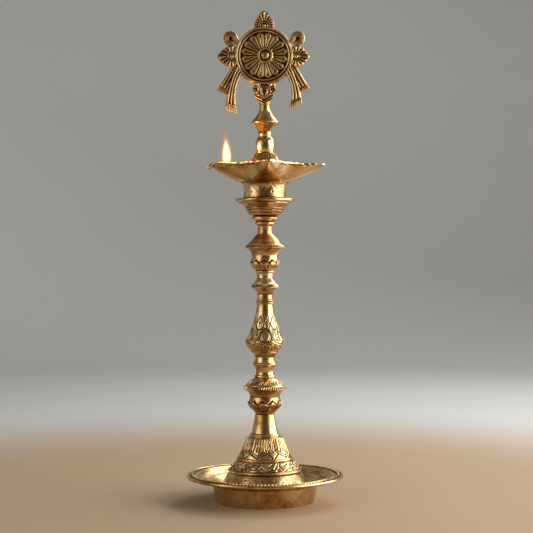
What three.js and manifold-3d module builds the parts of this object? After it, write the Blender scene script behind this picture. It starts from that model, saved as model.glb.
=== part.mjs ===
// A tall cast-brass oil lamp: drip tray, bell base, turned stem in screwed sections, a bowl with five
// spouts and, on top, a finial that carries an openwork-edged wheel emblem.
// Millimetres, +Z up. The origin is on the floor, on the lamp's axis; the emblem faces -Y.

import * as THREE from "three";
import { mergeVertices } from "three/addons/utils/BufferGeometryUtils.js";
import Module from "manifold-3d";

const wasm = await Module();
wasm.setup();

// Fits, shared by every joint of the lamp
const FIT = 0.3; // radial gap between a spigot and its socket
const END_GAP = 0.6; // gap beyond the end of a spigot
const WASHER = 0.7; // thickness of the leather sealing washers
const WASHER_INSET = 0.6; // how far a washer stays back from the edge of its seat

// Smoothness
const TRAY_SIDES = 40;
const BELL_SIDES = 28;
const STEM_SIDES = 20;
const SMALL_SIDES = 16;
const CUP_SIDES = 24;
const ARC_STEPS = 2;

// Drip tray
const TRAY_R = 78.5;
const TRAY_RIM_Z = 25.4;
const TRAY_RIM_THICK = 3;
const TRAY_RIM_ROLL = 0.8;
const FLANGE_WIDTH = 11.5;
const FLANGE_DISH = 1.2;
const FLANGE_THICK = 3.6;
const FOOT_R = 49.3;
const FOOT_FLARE = 2.7;
const FOOT_H = 13.5;
const FOOT_WALL = 2.8;
const TRAY_FLOOR_Z = 11;
const TRAY_FLOOR_THICK = 2.5;
const WELL_R = 48;
const WELL_RISE = 3.8;
const WELL_STEP = 2.4;

// Tie rod that holds the base together
const ROD_R = 4;
const ROD_IN_NECK = 8;
const ROD_BEYOND_NUT = 0.8;
const NUT_ACROSS_FLATS = 13;
const NUT_H = 5;
const TIE_WASHER_R = 9;
const TIE_WASHER_H = 1.5;

// Bell
const BELL_FOOT_R = 46.6;
const BELL_WALL = 3;
const BELL_TOP_PLATE = 6;
const BELL_SKIRT_R = 36;
const BELL_SKIRT_H = 19.2;
const BELL_BAND_R = 27.4;
const BELL_BAND_H = 11.4;
const BELL_RING = 1.9; // height of each raised ring
const BELL_RING_OUT = 0.8;
const BELL_WAIST_R = 20.6;
const BELL_WAIST_H = 10;
const BELL_SHOULDER_R = 19;
const BELL_SHOULDER_H = 7.5;
const BELL_CAP_R = 16.2;
const BELL_CAP_H = 2.4;
const BELL_COLLAR_R = 15.2;
const BELL_COLLAR_H = 2.2;

// Plain neck cone over the bell
const NECK_FOOT_R = 13.4;
const NECK_TOP_R = 9.9;
const NECK_H = 19.2;

// Spigots under the sections that screw together
const STEM_SPIGOT = { radius: 5, length: 10 };
const JOINT_SPIGOT = { radius: 4.4, length: 12 };
const BOWL_SPIGOT = { radius: 8, length: 12 };
const BOWL_STUB = { radius: 8, length: 7 };
const FINIAL_SPIGOT = { radius: 4.4, length: 9 };
const CAP_SPIGOT = { radius: 3.2, length: 8 };

// Lower stem: lotus bulb, disc with a sloping top, ring
const LOTUS_FOOT_R = 10.2;
const LOTUS_R = 17;
const LOTUS_RISE = 9.8;
const LOTUS_THROAT_R = 14.9;
const LOTUS_FALL = 6.5;
const LOWER_DISC_R = 22.2;
const LOWER_DISC_COVE = 6.5;
const LOWER_DISC_UNDER_R = 17.6;
const LOWER_DISC_LIP = 2.3;
const LOWER_DISC_BAND_R = 20.4;
const LOWER_DISC_BAND = 2.7;
const LOWER_CONE_R = 11.4;
const LOWER_CONE = 8.6;
const LOWER_RING_R = 10.6;
const LOWER_RING = 2.1;

// Middle stem: waist bead and the long baluster
const WAIST_R = 9.2;
const WAIST_H = 7.4;
const WAIST_BEAD_R = 12.4;
const WAIST_BEAD = 3.9;
const WAIST_TOP_R = 10.1;
const WAIST_TOP_H = 4.6;
const BALUSTER_CUP_R = 12.6;
const BALUSTER_CUP_H = 6.2;
const BALUSTER_LIP_R = 13.7;
const BALUSTER_R = 19.3;
const BALUSTER_BELLY = 10.2;
const BALUSTER_SHOULDER_R = 14.6;
const BALUSTER_SHOULDER = 11.4;
const BALUSTER_SLOPE_R = 10.4;
const BALUSTER_SLOPE = 13;
const BALUSTER_NECK_R = 8.4;
const BALUSTER_NECK = 13.9;
const COLLAR_BEAD_R = 9.3;
const COLLAR_BEAD = 2.2;

// Upper stem: small disc, knop, large disc and neck
const SMALL_DISC_NECK_R = 7.9;
const SMALL_DISC_NECK = 4.6;
const SMALL_DISC_R = 13.9;
const SMALL_DISC_COVE = 7.6;
const SMALL_DISC_BAND_R = 12.2;
const SMALL_DISC_BAND = 2.8;
const SMALL_CONE_R = 9.2;
const SMALL_CONE = 4.6;
const THROAT_R = 8.3;
const THROAT_H = 6.4;
const KNOP_RING_R = 10;
const KNOP_RING = 2.4;
const KNOP_R = 14.6;
const KNOP_RISE = 7.2;
const KNOP_TOP_R = 13;
const KNOP_FALL = 8;
const BIG_DISC_R = 19.9;
const BIG_DISC_COVE = 8;
const BIG_DISC_BAND_R = 18;
const BIG_DISC_BAND = 3.2;
const BIG_CONE_R = 10.2;
const BIG_CONE = 8;
const UPPER_NECK_R = 7.6;
const UPPER_NECK_IN = 6;
const UPPER_NECK_OUT = 5.3;
const UPPER_BEAD_R = 10.4;
const UPPER_BEAD = 4;

// Stepped cup under the bowl
const CUP_FOOT_R = 9.6;
const TORUS_R = 13.3;
const TORUS_H = 5.4;
const CUP_STEPS = 3;
const CUP_STEP_OUT = 2.3;
const CUP_STEP_RISE = 2.7;
const CUP_STEP_CUT = 0.7;
const CUP_BELL_R = 27.6;
const CUP_BELL_H = 6.5;
const CUP_FLANGE_R = 29.5;
const CUP_FLANGE = 2.9;

// Drum between the cup and the bowl
const DRUM_R = 21.7;
const DRUM_H = 11.3;
const DRUM_FLARE_R = 25.2;
const DRUM_FLARE_H = 3.5;

// Oil bowl
const SPOUTS = 5;
const SPOUT_TURN = 3.8; // degrees the front spout points past straight ahead, towards +X
const SPOUT_R = 62;
const VALLEY_R = 40; // rim half-way between two spouts
const BOWL_H = 18.6;
const BOWL_WALL = 1.9;
const BOWL_FLOOR = 2.6;
const LIP_H = 2.2; // the rim's flat lip
const LIP_OUT = 0.9;
const SPOUT_HALF_WIDTH = 2.6;
const KEEL_HALF_ANGLE = 28; // degrees of the drum's edge that run out into one spout, each way
const KEEL_TAPER = 1.3;
const KEEL_CURVE = 0.95; // below 1, the wall leaves the drum flatter than it goes on
const VALLEY_CURVE = 0.85;
const VALLEY_WALL = 2.3; // walls measured level, between two spouts and at a spout's side
const SPOUT_WALL = 1.7;
const LEVEL_CROWDING = 1.5; // above 1, the shell's outside levels crowd towards the drum
const RIM_BOW = 1.5; // how far the rim curves in between a spout and a valley
const OUTSIDE_LEVELS = 4;
const INSIDE_LEVELS = 3;
const CAP_STEPS = 2;
const SIDE_STEPS = 3;
const BOSS_R = 13;
const BOSS_H = 12.4;

// Wick
const WICK_R = 1.4;
const WICK_OUT = 1.8; // how far the lit end stands past the spout's lip
const WICK_TAIL_R = 33; // where the tail rests on the channel's floor
const WICK_SIDES = 10;
const LIT_SPOUT = 3; // counted anticlockwise from the front spout, seen from above

// Finial foot and stem
const DOME_R = 19.4;
const DOME_EDGE = 1.5;
const DOME_TOP_R = 9.3;
const DOME_H = 16.2;
const BULB_R = 9.7;
const BULB_RISE = 5.6;
const BULB_TOP_R = 7.3;
const BULB_FALL = 9.6;
const THREAD_NECK_R = 6.3;
const THREAD_NECK = 6;
const SAUCER_FOOT_R = 7;
const SAUCER_R = 14;
const SAUCER_COVE = 8.4;
const SAUCER_CONE_R = 8;
const SAUCER_CONE = 6.6;
const STALK_R = 5.9;
const STALK_FALL = 7;
const STALK_TOP_R = 6.3;
const STALK_RISE = 5.4;

// Wheel emblem
const WHEEL_R = 28.6;
const WHEEL_SIDES = 36;
const RIM_RING = 2.4;
const RIM_GROOVE = 0.8;
const INNER_RING = 2;
const RING_HALF = 3.2; // each HALF is half a thickness
const GROOVE_HALF = 2.4;
const FIELD_HALF = 1.8;
const HUB_R = 7.9;
const HUB_SIDES = 16;
const HUB_RING = 2.1;
const HUB_HALF = 3.5;
const HUB_DOME_R = 4.3;
const HUB_DOME_HALF = 4.9;
const HUB_SHOULDER_R = 3;
const HUB_SHOULDER_HALF = 4.4;
const PETALS = 16;
const PETAL_HALF = 2.9;
const PETAL_TIP_GAP = 0.9;
const PETAL_HALF_WIDTH = 3;
const PETAL_ROOT_HALF_WIDTH = 0.8;
const PETAL_SHOULDER = 3.2; // back from the tip to the widest place
const PETAL_RIM = 1.9; // width of the raised edge round a petal's hollow, at its shoulder
const LEAF_HALF = 1.9;
const LEAF_SINK = 1.6; // how far a leaf or ribbon runs in under the rim
const RIB_HALF = 2.6;
const RIB_WIDTH = 1.5;
const RIB_STOP = 0.86; // share of the way to the leaf's edge where a rib ends
const LEAF_RIBS = 5;
const LEAF_STEPS = 4;
const LEAF_FULLNESS = 0.7; // share of its height to which a leaf's side rises upright
const RIB_FAN = 0.9; // share of a leaf's edge that its ribs reach
const BOSS_SIDES = 12;
const CREST_HALF_WIDTH = 10.2;
const CREST_H = 18;
const CREST_BOSS_R = 3.6;
const PALMETTE_HALF_WIDTH = 10.6;
const PALMETTE_H = 19;
const PALMETTE_BOSS_R = 3.1;
const PALMETTE_ANGLE = 92; // degrees from straight up
const LOOP_R = 7.4;
const LOOP_HOLE_R = 2;
const LOOP_HALF = 2.2;
const LOOP_FROM_RIM = 9.2;
const LOOP_ANGLE = 63;
const LOOP_NECK = 6.5;
const LOOP_NECK_HALF = 1.9;
const BRACKET_H = 19.4;
const BRACKET_HALF = 4;
const BRACKET_HALF_WIDTH = 8.2;
const BRACKET_WAIST = 9;
const BRACKET_LEAF = 10;
const BRACKET_LEAF_RISE = 7.4; // from the foot up to the leaf's widest place
const BRACKET_FOOT = 6.2;
const BRACKET_FOOT_RISE = 2;
const BRACKET_RIB_RISE = 3;
const BRACKET_RIB_INSET = 1.5;
const VOLUTE_R = 3.3;
const VOLUTE_DROP = 5.6; // from the wheel's edge down to a volute's centre
const VOLUTE_BULGE = 2;
const VOLUTE_EYE_R = 1.6;
const VOLUTE_EYE_SIDES = 8;
const VOLUTE_HALF = 4.6;
const WEB_OUT = 3.2;
const WEB_HALF = 2.2;
const WEB_FROM = 132.6; // degrees from straight up
const WEB_TO = 157.7;
const WEB_LAP = 3; // degrees that a web runs on along the rim at each end
const RIBBON_KNOT_ANGLE = 118; // degrees from straight up, where the ribbons leave the rim
const RIBBON_HALF = 1.8;
const RIBBON_STEP = 0.5; // how far the inner ribbon stands proud of the outer one
const RIBBON_RIDGE = 0.6;
const RIBBON_RIDGE_WIDTH = 0.12; // ridge widths and places are shares of the ribbon's width
const RIBBON_RIDGES = [0.07, 0.72];
const RIBBON_RIDGE_START = 0.12; // share of the ribbon's length
const RIBBON_BAND = 1.5;
const RIBBON_BAND_FROM_END = 6.5;
const RIBBON_BAND_INSET = 0.01;

// Ribbon edges, each from the knot down: [across, down], counted outwards from the knot
const RIBBONS = {
  left: [
    { outside: [[4, -8], [13.5, 8], [21.2, 20.5]], inside: [[-3, -3], [6.5, 14], [12, 25.5]] },
    { outside: [[1, -4], [9, 17], [13.4, 40]], inside: [[-5, 4], [2.4, 21], [1.2, 44.2]] },
  ],
  right: [
    { outside: [[4, -8], [13.5, 8], [19.4, 18.2]], inside: [[-3, -3], [6, 13], [10.4, 22.8]] },
    { outside: [[1, -4], [9, 17], [12.7, 33.5]], inside: [[-5, 4], [1.8, 20.5], [-0.8, 39.3]] },
  ],
};

// Metal and cloth
const BRASS = { color: 0xb58a45, roughness: 0.32, metalness: 1 };
const PLAIN_BRASS = { color: 0x9c7a3e, roughness: 0.45, metalness: 1 };
const LEATHER = { color: 0x4a3020, roughness: 0.85, metalness: 0 };
const COTTON = { color: 0xe8dfc8, roughness: 0.95, metalness: 0 };

const lamp = new THREE.Group();

function add(name, geometry, look) {
  const mesh = new THREE.Mesh(geometry, new THREE.MeshStandardMaterial(look));
  mesh.name = name;
  lamp.add(mesh);
  return mesh;
}

// Solids for cutting and joining
function solid(geometry) {
  const bare = new THREE.BufferGeometry();
  const loose = geometry.index ? geometry.toNonIndexed() : geometry;
  bare.setAttribute("position", loose.getAttribute("position"));
  const merged = mergeVertices(bare, 1e-3);
  return new wasm.Manifold(
    new wasm.Mesh({
      numProp: 3,
      vertProperties: merged.attributes.position.array,
      triVerts: new Uint32Array(merged.index.array),
    }),
  );
}

function geometryOf(body) {
  const mesh = body.getMesh();
  const geometry = new THREE.BufferGeometry();
  geometry.setAttribute("position", new THREE.BufferAttribute(mesh.vertProperties, 3));
  geometry.setIndex(new THREE.BufferAttribute(mesh.triVerts, 1));
  return geometry;
}

const joined = (bodies) => bodies.reduce((whole, body) => whole.add(body));

// Turned outline, drawn upwards: each step gives the radius that it reaches and its rise
class Outline {
  constructor(radius, z = 0) {
    this.points = [[radius, z]];
  }

  get end() {
    return this.points[this.points.length - 1];
  }

  line(radius, rise = 0) {
    this.points.push([radius, this.end[1] + rise]);
    return this;
  }

  quarter(radius, rise, across, up, steps) {
    const [startR, startZ] = this.end;
    for (let i = 1; i <= steps; i += 1) {
      const angle = ((Math.PI / 2) * i) / steps;
      this.points.push([startR + (radius - startR) * across(angle), startZ + rise * up(angle)]);
    }
    return this;
  }

  // Leaves upright and arrives level: a cove going out, a shoulder going in
  upright(radius, rise, steps = ARC_STEPS) {
    return this.quarter(radius, rise, (a) => 1 - Math.cos(a), Math.sin, steps);
  }

  // Leaves level and arrives upright: a belly going out, a cove going in
  level(radius, rise, steps = ARC_STEPS) {
    return this.quarter(radius, rise, Math.sin, (a) => 1 - Math.cos(a), steps);
  }

  bead(radius, rise) {
    const [start] = this.end;
    return this.level(radius, rise / 2).upright(start, rise / 2);
  }
}

function turned(points, sides) {
  const profile = points.map(([r, z]) => new THREE.Vector2(r, z));
  return new THREE.LatheGeometry(profile, sides).rotateX(Math.PI / 2);
}

// A turned section: spigot below, outline, socket above
function section(outline, sides, spigot, socket) {
  const top = outline.end[1];
  const foot = spigot
    ? [[0, -spigot.length], [spigot.radius, -spigot.length], [spigot.radius, 0]]
    : [[0, 0]];
  const depth = socket ? top - socket.length - END_GAP : top;
  const head = socket
    ? [[socket.radius + FIT, top], [socket.radius + FIT, depth], [0, depth]]
    : [[0, top]];
  return turned([...foot, ...outline.points, ...head], sides);
}

function ring(innerR, outerR, height, sides) {
  return turned(
    [[innerR, 0], [outerR, 0], [outerR, height], [innerR, height], [innerR, 0]],
    sides,
  );
}

// Drip tray: a shallow dish with a broad flange, on a foot ring that is hollow underneath
const flangeInnerR = TRAY_R - FLANGE_WIDTH;
const flangeZ = TRAY_RIM_Z + TRAY_RIM_THICK / 2 - FLANGE_DISH;
const footTopR = FOOT_R + FOOT_FLARE;
const trayHoleR = ROD_R + FIT;
const trayFloorBottom = TRAY_FLOOR_Z - TRAY_FLOOR_THICK;

add(
  "drip_tray",
  turned(
    [
      [trayHoleR, trayFloorBottom],
      [FOOT_R - FOOT_WALL, trayFloorBottom],
      [FOOT_R - FOOT_WALL, 0],
      [FOOT_R, 0],
      [footTopR, FOOT_H],
      [flangeInnerR - TRAY_RIM_ROLL, flangeZ - FLANGE_THICK],
      [TRAY_R - TRAY_RIM_ROLL, TRAY_RIM_Z - TRAY_RIM_THICK / 2],
      [TRAY_R, TRAY_RIM_Z],
      [TRAY_R - TRAY_RIM_ROLL, TRAY_RIM_Z + TRAY_RIM_THICK / 2],
      [flangeInnerR, flangeZ],
      [WELL_R + WELL_STEP, TRAY_FLOOR_Z + WELL_RISE],
      [WELL_R, TRAY_FLOOR_Z],
      [trayHoleR, TRAY_FLOOR_Z],
      [trayHoleR, trayFloorBottom],
    ],
    TRAY_SIDES,
  ),
  BRASS,
);

// Bell: hollow casting that stands in the tray's well
function bellOutline() {
  return new Outline(BELL_FOOT_R)
    .line(BELL_SKIRT_R, BELL_SKIRT_H)
    .bead(BELL_SKIRT_R + BELL_RING_OUT, BELL_RING)
    .line(BELL_BAND_R, BELL_BAND_H)
    .bead(BELL_BAND_R + BELL_RING_OUT, BELL_RING)
    .line(BELL_WAIST_R, BELL_WAIST_H)
    .line(BELL_SHOULDER_R, BELL_SHOULDER_H)
    .upright(BELL_CAP_R, BELL_CAP_H)
    .line(BELL_COLLAR_R)
    .line(BELL_COLLAR_R, BELL_COLLAR_H);
}

const bell = bellOutline();
const bellTop = bell.end[1];
const skirtTop = BELL_SKIRT_H + BELL_RING;
const bandTop = skirtTop + BELL_BAND_H + BELL_RING;
const hollowTop = bellTop - BELL_TOP_PLATE;
const hollowTopR = BELL_SHOULDER_R - BELL_WALL;
const bellGeometry = turned(
  [
    ...bell.points,
    [ROD_R + FIT, bellTop],
    [ROD_R + FIT, hollowTop],
    [hollowTopR, hollowTop],
    [BELL_WAIST_R - BELL_WALL, bandTop + BELL_WAIST_H],
    [BELL_BAND_R - BELL_WALL, bandTop],
    [BELL_SKIRT_R - BELL_WALL, skirtTop],
    [BELL_FOOT_R - BELL_WALL, 0],
    bell.points[0],
  ],
  BELL_SIDES,
).translate(0, 0, TRAY_FLOOR_Z);
add("base_bell", bellGeometry, BRASS);

// Tie rod, washer and nut: they pull the neck, the bell and the tray together
const bellTopZ = TRAY_FLOOR_Z + bellTop;
const tieWasherZ = trayFloorBottom - TIE_WASHER_H;
const nutZ = tieWasherZ - NUT_H;
const rodFootZ = nutZ - ROD_BEYOND_NUT;
const rodTopZ = bellTopZ + ROD_IN_NECK;

add(
  "tie_rod",
  turned(
    [[0, rodFootZ], [ROD_R, rodFootZ], [ROD_R, rodTopZ], [0, rodTopZ]],
    STEM_SIDES,
  ),
  PLAIN_BRASS,
);
add(
  "tie_washer",
  ring(ROD_R + FIT, TIE_WASHER_R, TIE_WASHER_H, SMALL_SIDES).translate(0, 0, tieWasherZ),
  PLAIN_BRASS,
);

function hexNut(acrossFlats, holeR, height) {
  const corner = acrossFlats / Math.sqrt(3);
  const shape = new THREE.Shape();
  for (let i = 0; i < 6; i += 1) {
    const angle = (Math.PI / 3) * i;
    const point = [corner * Math.cos(angle), corner * Math.sin(angle)];
    if (i === 0) shape.moveTo(...point);
    else shape.lineTo(...point);
  }
  shape.closePath();
  const hole = new THREE.Path();
  hole.absarc(0, 0, holeR, 0, 2 * Math.PI, true);
  shape.holes.push(hole);
  return new THREE.ExtrudeGeometry(shape, {
    depth: height,
    bevelEnabled: false,
    curveSegments: SMALL_SIDES / 2,
  });
}
add(
  "tie_nut",
  hexNut(NUT_ACROSS_FLATS, ROD_R + FIT, NUT_H).translate(0, 0, nutZ),
  PLAIN_BRASS,
);

// Plain neck: bored right through, the tie rod below and the stem's spigot above
const neckStep = NECK_H - STEM_SPIGOT.length - END_GAP;
add(
  "base_neck",
  turned(
    [
      [ROD_R + FIT, 0],
      [NECK_FOOT_R, 0],
      [NECK_TOP_R, NECK_H],
      [STEM_SPIGOT.radius + FIT, NECK_H],
      [STEM_SPIGOT.radius + FIT, neckStep],
      [ROD_R + FIT, neckStep],
      [ROD_R + FIT, 0],
    ],
    STEM_SIDES,
  ).translate(0, 0, bellTopZ),
  BRASS,
);
const neckTopZ = bellTopZ + NECK_H;

// Leather washer between two screwed sections, round the spigot
function addWasher(name, spigot, seatR, z) {
  const geometry = ring(spigot.radius + FIT, seatR - WASHER_INSET, WASHER, SMALL_SIDES);
  add(name, geometry.translate(0, 0, z), LEATHER);
  return z + WASHER;
}

const lowerStemZ = addWasher("stem_washer", STEM_SPIGOT, NECK_TOP_R, neckTopZ);

// Lower stem
const lowerStem = new Outline(LOTUS_FOOT_R)
  .level(LOTUS_R, LOTUS_RISE, ARC_STEPS + 1)
  .upright(LOTUS_THROAT_R, LOTUS_FALL)
  .upright(LOWER_DISC_UNDER_R, LOWER_DISC_COVE)
  .line(LOWER_DISC_R, LOWER_DISC_LIP)
  .line(LOWER_DISC_BAND_R, LOWER_DISC_BAND)
  .line(LOWER_CONE_R, LOWER_CONE)
  .line(LOWER_RING_R)
  .line(LOWER_RING_R, LOWER_RING);
add(
  "lower_stem",
  section(lowerStem, STEM_SIDES, STEM_SPIGOT, JOINT_SPIGOT).translate(0, 0, lowerStemZ),
  BRASS,
);

// Middle stem
const middleStemZ = lowerStemZ + lowerStem.end[1];
const middleStem = new Outline(WAIST_R)
  .line(WAIST_R, WAIST_H)
  .bead(WAIST_BEAD_R, WAIST_BEAD)
  .line(WAIST_TOP_R, WAIST_TOP_H)
  .upright(BALUSTER_CUP_R, BALUSTER_CUP_H)
  .line(BALUSTER_LIP_R)
  .level(BALUSTER_R, BALUSTER_BELLY, ARC_STEPS + 1)
  .line(BALUSTER_SHOULDER_R, BALUSTER_SHOULDER)
  .line(BALUSTER_SLOPE_R, BALUSTER_SLOPE)
  .line(BALUSTER_NECK_R, BALUSTER_NECK)
  .bead(COLLAR_BEAD_R, COLLAR_BEAD)
  .bead(COLLAR_BEAD_R, COLLAR_BEAD);
add(
  "middle_stem",
  section(middleStem, STEM_SIDES, JOINT_SPIGOT, JOINT_SPIGOT).translate(0, 0, middleStemZ),
  BRASS,
);

// Upper stem
const upperStemZ = middleStemZ + middleStem.end[1];
const upperStem = new Outline(SMALL_DISC_NECK_R)
  .line(SMALL_DISC_NECK_R, SMALL_DISC_NECK)
  .upright(SMALL_DISC_R, SMALL_DISC_COVE)
  .line(SMALL_DISC_BAND_R, SMALL_DISC_BAND)
  .line(SMALL_CONE_R, SMALL_CONE)
  .line(THROAT_R)
  .line(THROAT_R, THROAT_H)
  .line(KNOP_RING_R)
  .line(KNOP_RING_R, KNOP_RING)
  .line(KNOP_R, KNOP_RISE)
  .upright(KNOP_TOP_R, KNOP_FALL)
  .upright(BIG_DISC_R, BIG_DISC_COVE)
  .line(BIG_DISC_BAND_R, BIG_DISC_BAND)
  .line(BIG_CONE_R, BIG_CONE)
  .line(UPPER_NECK_R, UPPER_NECK_IN)
  .line(CUP_FOOT_R - WASHER_INSET, UPPER_NECK_OUT)
  .bead(UPPER_BEAD_R, UPPER_BEAD);
add(
  "upper_stem",
  section(upperStem, STEM_SIDES, JOINT_SPIGOT, JOINT_SPIGOT).translate(0, 0, upperStemZ),
  BRASS,
);

// Stepped cup that carries the bowl
const cupZ = upperStemZ + upperStem.end[1];
const cup = new Outline(CUP_FOOT_R).bead(TORUS_R, TORUS_H).line(TORUS_R - CUP_STEP_CUT);
for (let i = 1; i <= CUP_STEPS; i += 1) {
  const stepR = TORUS_R + i * CUP_STEP_OUT;
  cup.line(stepR, CUP_STEP_RISE).line(stepR - CUP_STEP_CUT);
}
cup
  .line(CUP_BELL_R, CUP_BELL_H)
  .line(CUP_FLANGE_R, CUP_FLANGE / 2)
  .line(CUP_FLANGE_R - CUP_STEP_CUT, CUP_FLANGE / 2);
add(
  "bowl_cup",
  section(cup, CUP_SIDES, JOINT_SPIGOT, BOWL_SPIGOT).translate(0, 0, cupZ),
  BRASS,
);

// Drum, screwed into the cup over a washer
const drumZ = addWasher("bowl_washer", BOWL_SPIGOT, DRUM_R, cupZ + cup.end[1]);
const drum = new Outline(DRUM_R).line(DRUM_R, DRUM_H).upright(DRUM_FLARE_R, DRUM_FLARE_H);
add(
  "bowl_drum",
  section(drum, CUP_SIDES, BOWL_SPIGOT, BOWL_STUB).translate(0, 0, drumZ),
  BRASS,
);

// Oil bowl: a cast shell whose section grows from the drum's circle into a star of spouts
const bowlZ = drumZ + drum.end[1];
const underLip = BOWL_H - LIP_H;
const keelRun = SPOUT_R - LIP_OUT - DRUM_FLARE_R;
const valleyRun = VALLEY_R - LIP_OUT - DRUM_FLARE_R;
const valleyAngle = Math.PI / SPOUTS;
const degrees = (value) => THREE.MathUtils.degToRad(value);
const climbed = (height) => Math.min(Math.max(height / underLip, 0), 1);
const keelRadius = (height) => DRUM_FLARE_R + keelRun * climbed(height) ** KEEL_CURVE;
const valleyRadius = (height) => DRUM_FLARE_R + valleyRun * climbed(height) ** VALLEY_CURVE;

function keelHalfWidth(height) {
  const root = DRUM_FLARE_R * Math.sin(degrees(KEEL_HALF_ANGLE));
  return SPOUT_HALF_WIDTH + (root - SPOUT_HALF_WIDTH) * (1 - climbed(height)) ** KEEL_TAPER;
}

// One level of the shell, all the way round, as points
function starRing(height, keel, valley, halfWidth) {
  const star = climbed(height);
  const corner = Math.asin(halfWidth / keel);
  const half = [];
  for (let i = 0; i <= CAP_STEPS; i += 1) half.push([(corner * i) / CAP_STEPS, keel]);
  for (let i = 1; i <= SIDE_STEPS; i += 1) {
    const share = i / SIDE_STEPS;
    const angle = corner + (valleyAngle - corner) * share;
    const chord =
      (keel * valley * Math.sin(valleyAngle - corner)) /
      (keel * Math.sin(angle - corner) + valley * Math.sin(valleyAngle - angle));
    const bowed = chord - RIM_BOW * Math.sin(Math.PI * share);
    half.push([angle, (keel + (valley - keel) * share) * (1 - star) + bowed * star]);
  }
  const mirrored = half.slice(1, -1).reverse().map(([angle, r]) => [-angle, r]);
  const spout = [...mirrored, ...half];
  const points = [];
  for (let k = 0; k < SPOUTS; k += 1) {
    const ahead = degrees(SPOUT_TURN) + (2 * Math.PI * k) / SPOUTS;
    for (const [angle, r] of spout) {
      const turn = ahead + angle;
      points.push(new THREE.Vector3(r * Math.sin(turn), -r * Math.cos(turn), height));
    }
  }
  return points;
}

function outsideRing(height, out = 0) {
  return starRing(
    height,
    keelRadius(height) + out,
    valleyRadius(height) + out,
    keelHalfWidth(height),
  );
}

function insideRing(height) {
  return starRing(
    height,
    keelRadius(height - BOWL_FLOOR) - BOWL_WALL / 2,
    valleyRadius(height) - VALLEY_WALL,
    keelHalfWidth(height) - SPOUT_WALL,
  );
}

// Skin over a run of rings with equal counts, closed by a fan at each end
function skinned(rings) {
  const count = rings[0].length;
  const middle = (points) =>
    points
      .reduce((sum, p) => sum.add(p), new THREE.Vector3())
      .divideScalar(points.length);
  const points = [...rings.flat(), middle(rings[0]), middle(rings[rings.length - 1])];
  const index = [];
  for (let level = 0; level < rings.length - 1; level += 1) {
    for (let i = 0; i < count; i += 1) {
      const j = (i + 1) % count;
      const [a, b] = [level * count + i, level * count + j];
      index.push(a, b, b + count, a, b + count, a + count);
    }
  }
  const [first, last] = [rings.length * count, rings.length * count + 1];
  const lastRing = (rings.length - 1) * count;
  for (let i = 0; i < count; i += 1) {
    const j = (i + 1) % count;
    index.push(first, j, i, last, lastRing + i, lastRing + j);
  }
  const geometry = new THREE.BufferGeometry().setFromPoints(points);
  geometry.setIndex(index);
  return geometry;
}

const bowlRings = [];
for (let i = 0; i <= OUTSIDE_LEVELS; i += 1) {
  bowlRings.push(outsideRing(underLip * (i / OUTSIDE_LEVELS) ** LEVEL_CROWDING));
}
bowlRings.push(outsideRing(underLip, LIP_OUT), outsideRing(BOWL_H, LIP_OUT));
for (let i = 0; i <= INSIDE_LEVELS; i += 1) {
  bowlRings.push(insideRing(BOWL_FLOOR + (BOWL_H - BOWL_FLOOR) * (1 - i / INSIDE_LEVELS)));
}
const bowlShell = skinned(bowlRings);

const midFloor = BOWL_FLOOR / 2;
const bowlStub = turned(
  [
    [0, -BOWL_STUB.length],
    [BOWL_STUB.radius, -BOWL_STUB.length],
    [BOWL_STUB.radius, midFloor],
    [0, midFloor],
  ],
  STEM_SIDES,
);
const boss = turned(
  [[0, midFloor], [BOSS_R, midFloor], [BOSS_R, BOSS_H], [0, BOSS_H]],
  STEM_SIDES,
);
const holeR = FINIAL_SPIGOT.radius + FIT;
const holeZ = BOSS_H - FINIAL_SPIGOT.length - END_GAP;
const holeTop = BOSS_H + END_GAP;
const finialHole = turned(
  [[0, holeZ], [holeR, holeZ], [holeR, holeTop], [0, holeTop]],
  STEM_SIDES,
);
const bowlBody = joined([bowlShell, bowlStub, boss].map(solid)).subtract(solid(finialHole));
add("oil_bowl", geometryOf(bowlBody).translate(0, 0, bowlZ), BRASS);

// Wick: a cotton cord that lies up the lit spout, from the channel's floor over the lip
const litAngle = degrees(SPOUT_TURN) + (2 * Math.PI * LIT_SPOUT) / SPOUTS;
const channelR = (r) => Math.max(r + BOWL_WALL / 2 - DRUM_FLARE_R, 0) / keelRun;
const channelFloor = (r) => BOWL_FLOOR + underLip * channelR(r) ** (1 / KEEL_CURVE);
const lipInsideR = keelRadius(BOWL_H - BOWL_FLOOR) - BOWL_WALL / 2;
const wickClimb = BOWL_H - channelFloor(WICK_TAIL_R);
const wickSlope = Math.atan2(wickClimb, lipInsideR - WICK_TAIL_R);
const wickSeat = FIT + WICK_R / Math.cos(wickSlope);
const wickReach = SPOUT_R + WICK_OUT - WICK_TAIL_R;
const wickMiddle = WICK_TAIL_R + wickReach / 2;
const wickLength = wickReach / Math.cos(wickSlope);
const wick = new THREE.CylinderGeometry(WICK_R, WICK_R, wickLength, WICK_SIDES)
  .rotateX(-wickSlope)
  .rotateZ(litAngle)
  .translate(
    wickMiddle * Math.sin(litAngle),
    -wickMiddle * Math.cos(litAngle),
    bowlZ + BOWL_H + wickSeat + (wickMiddle - lipInsideR) * Math.tan(wickSlope),
  );
add("wick", wick, COTTON);

// Finial foot, screwed into the bowl's boss over a washer
const domeZ = addWasher("finial_washer", FINIAL_SPIGOT, BOSS_R, bowlZ + BOSS_H);
const dome = new Outline(DOME_R)
  .line(DOME_R, DOME_EDGE)
  .line(DOME_TOP_R, DOME_H);
add(
  "finial_foot",
  section(dome, STEM_SIDES, FINIAL_SPIGOT, CAP_SPIGOT).translate(0, 0, domeZ),
  BRASS,
);

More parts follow.
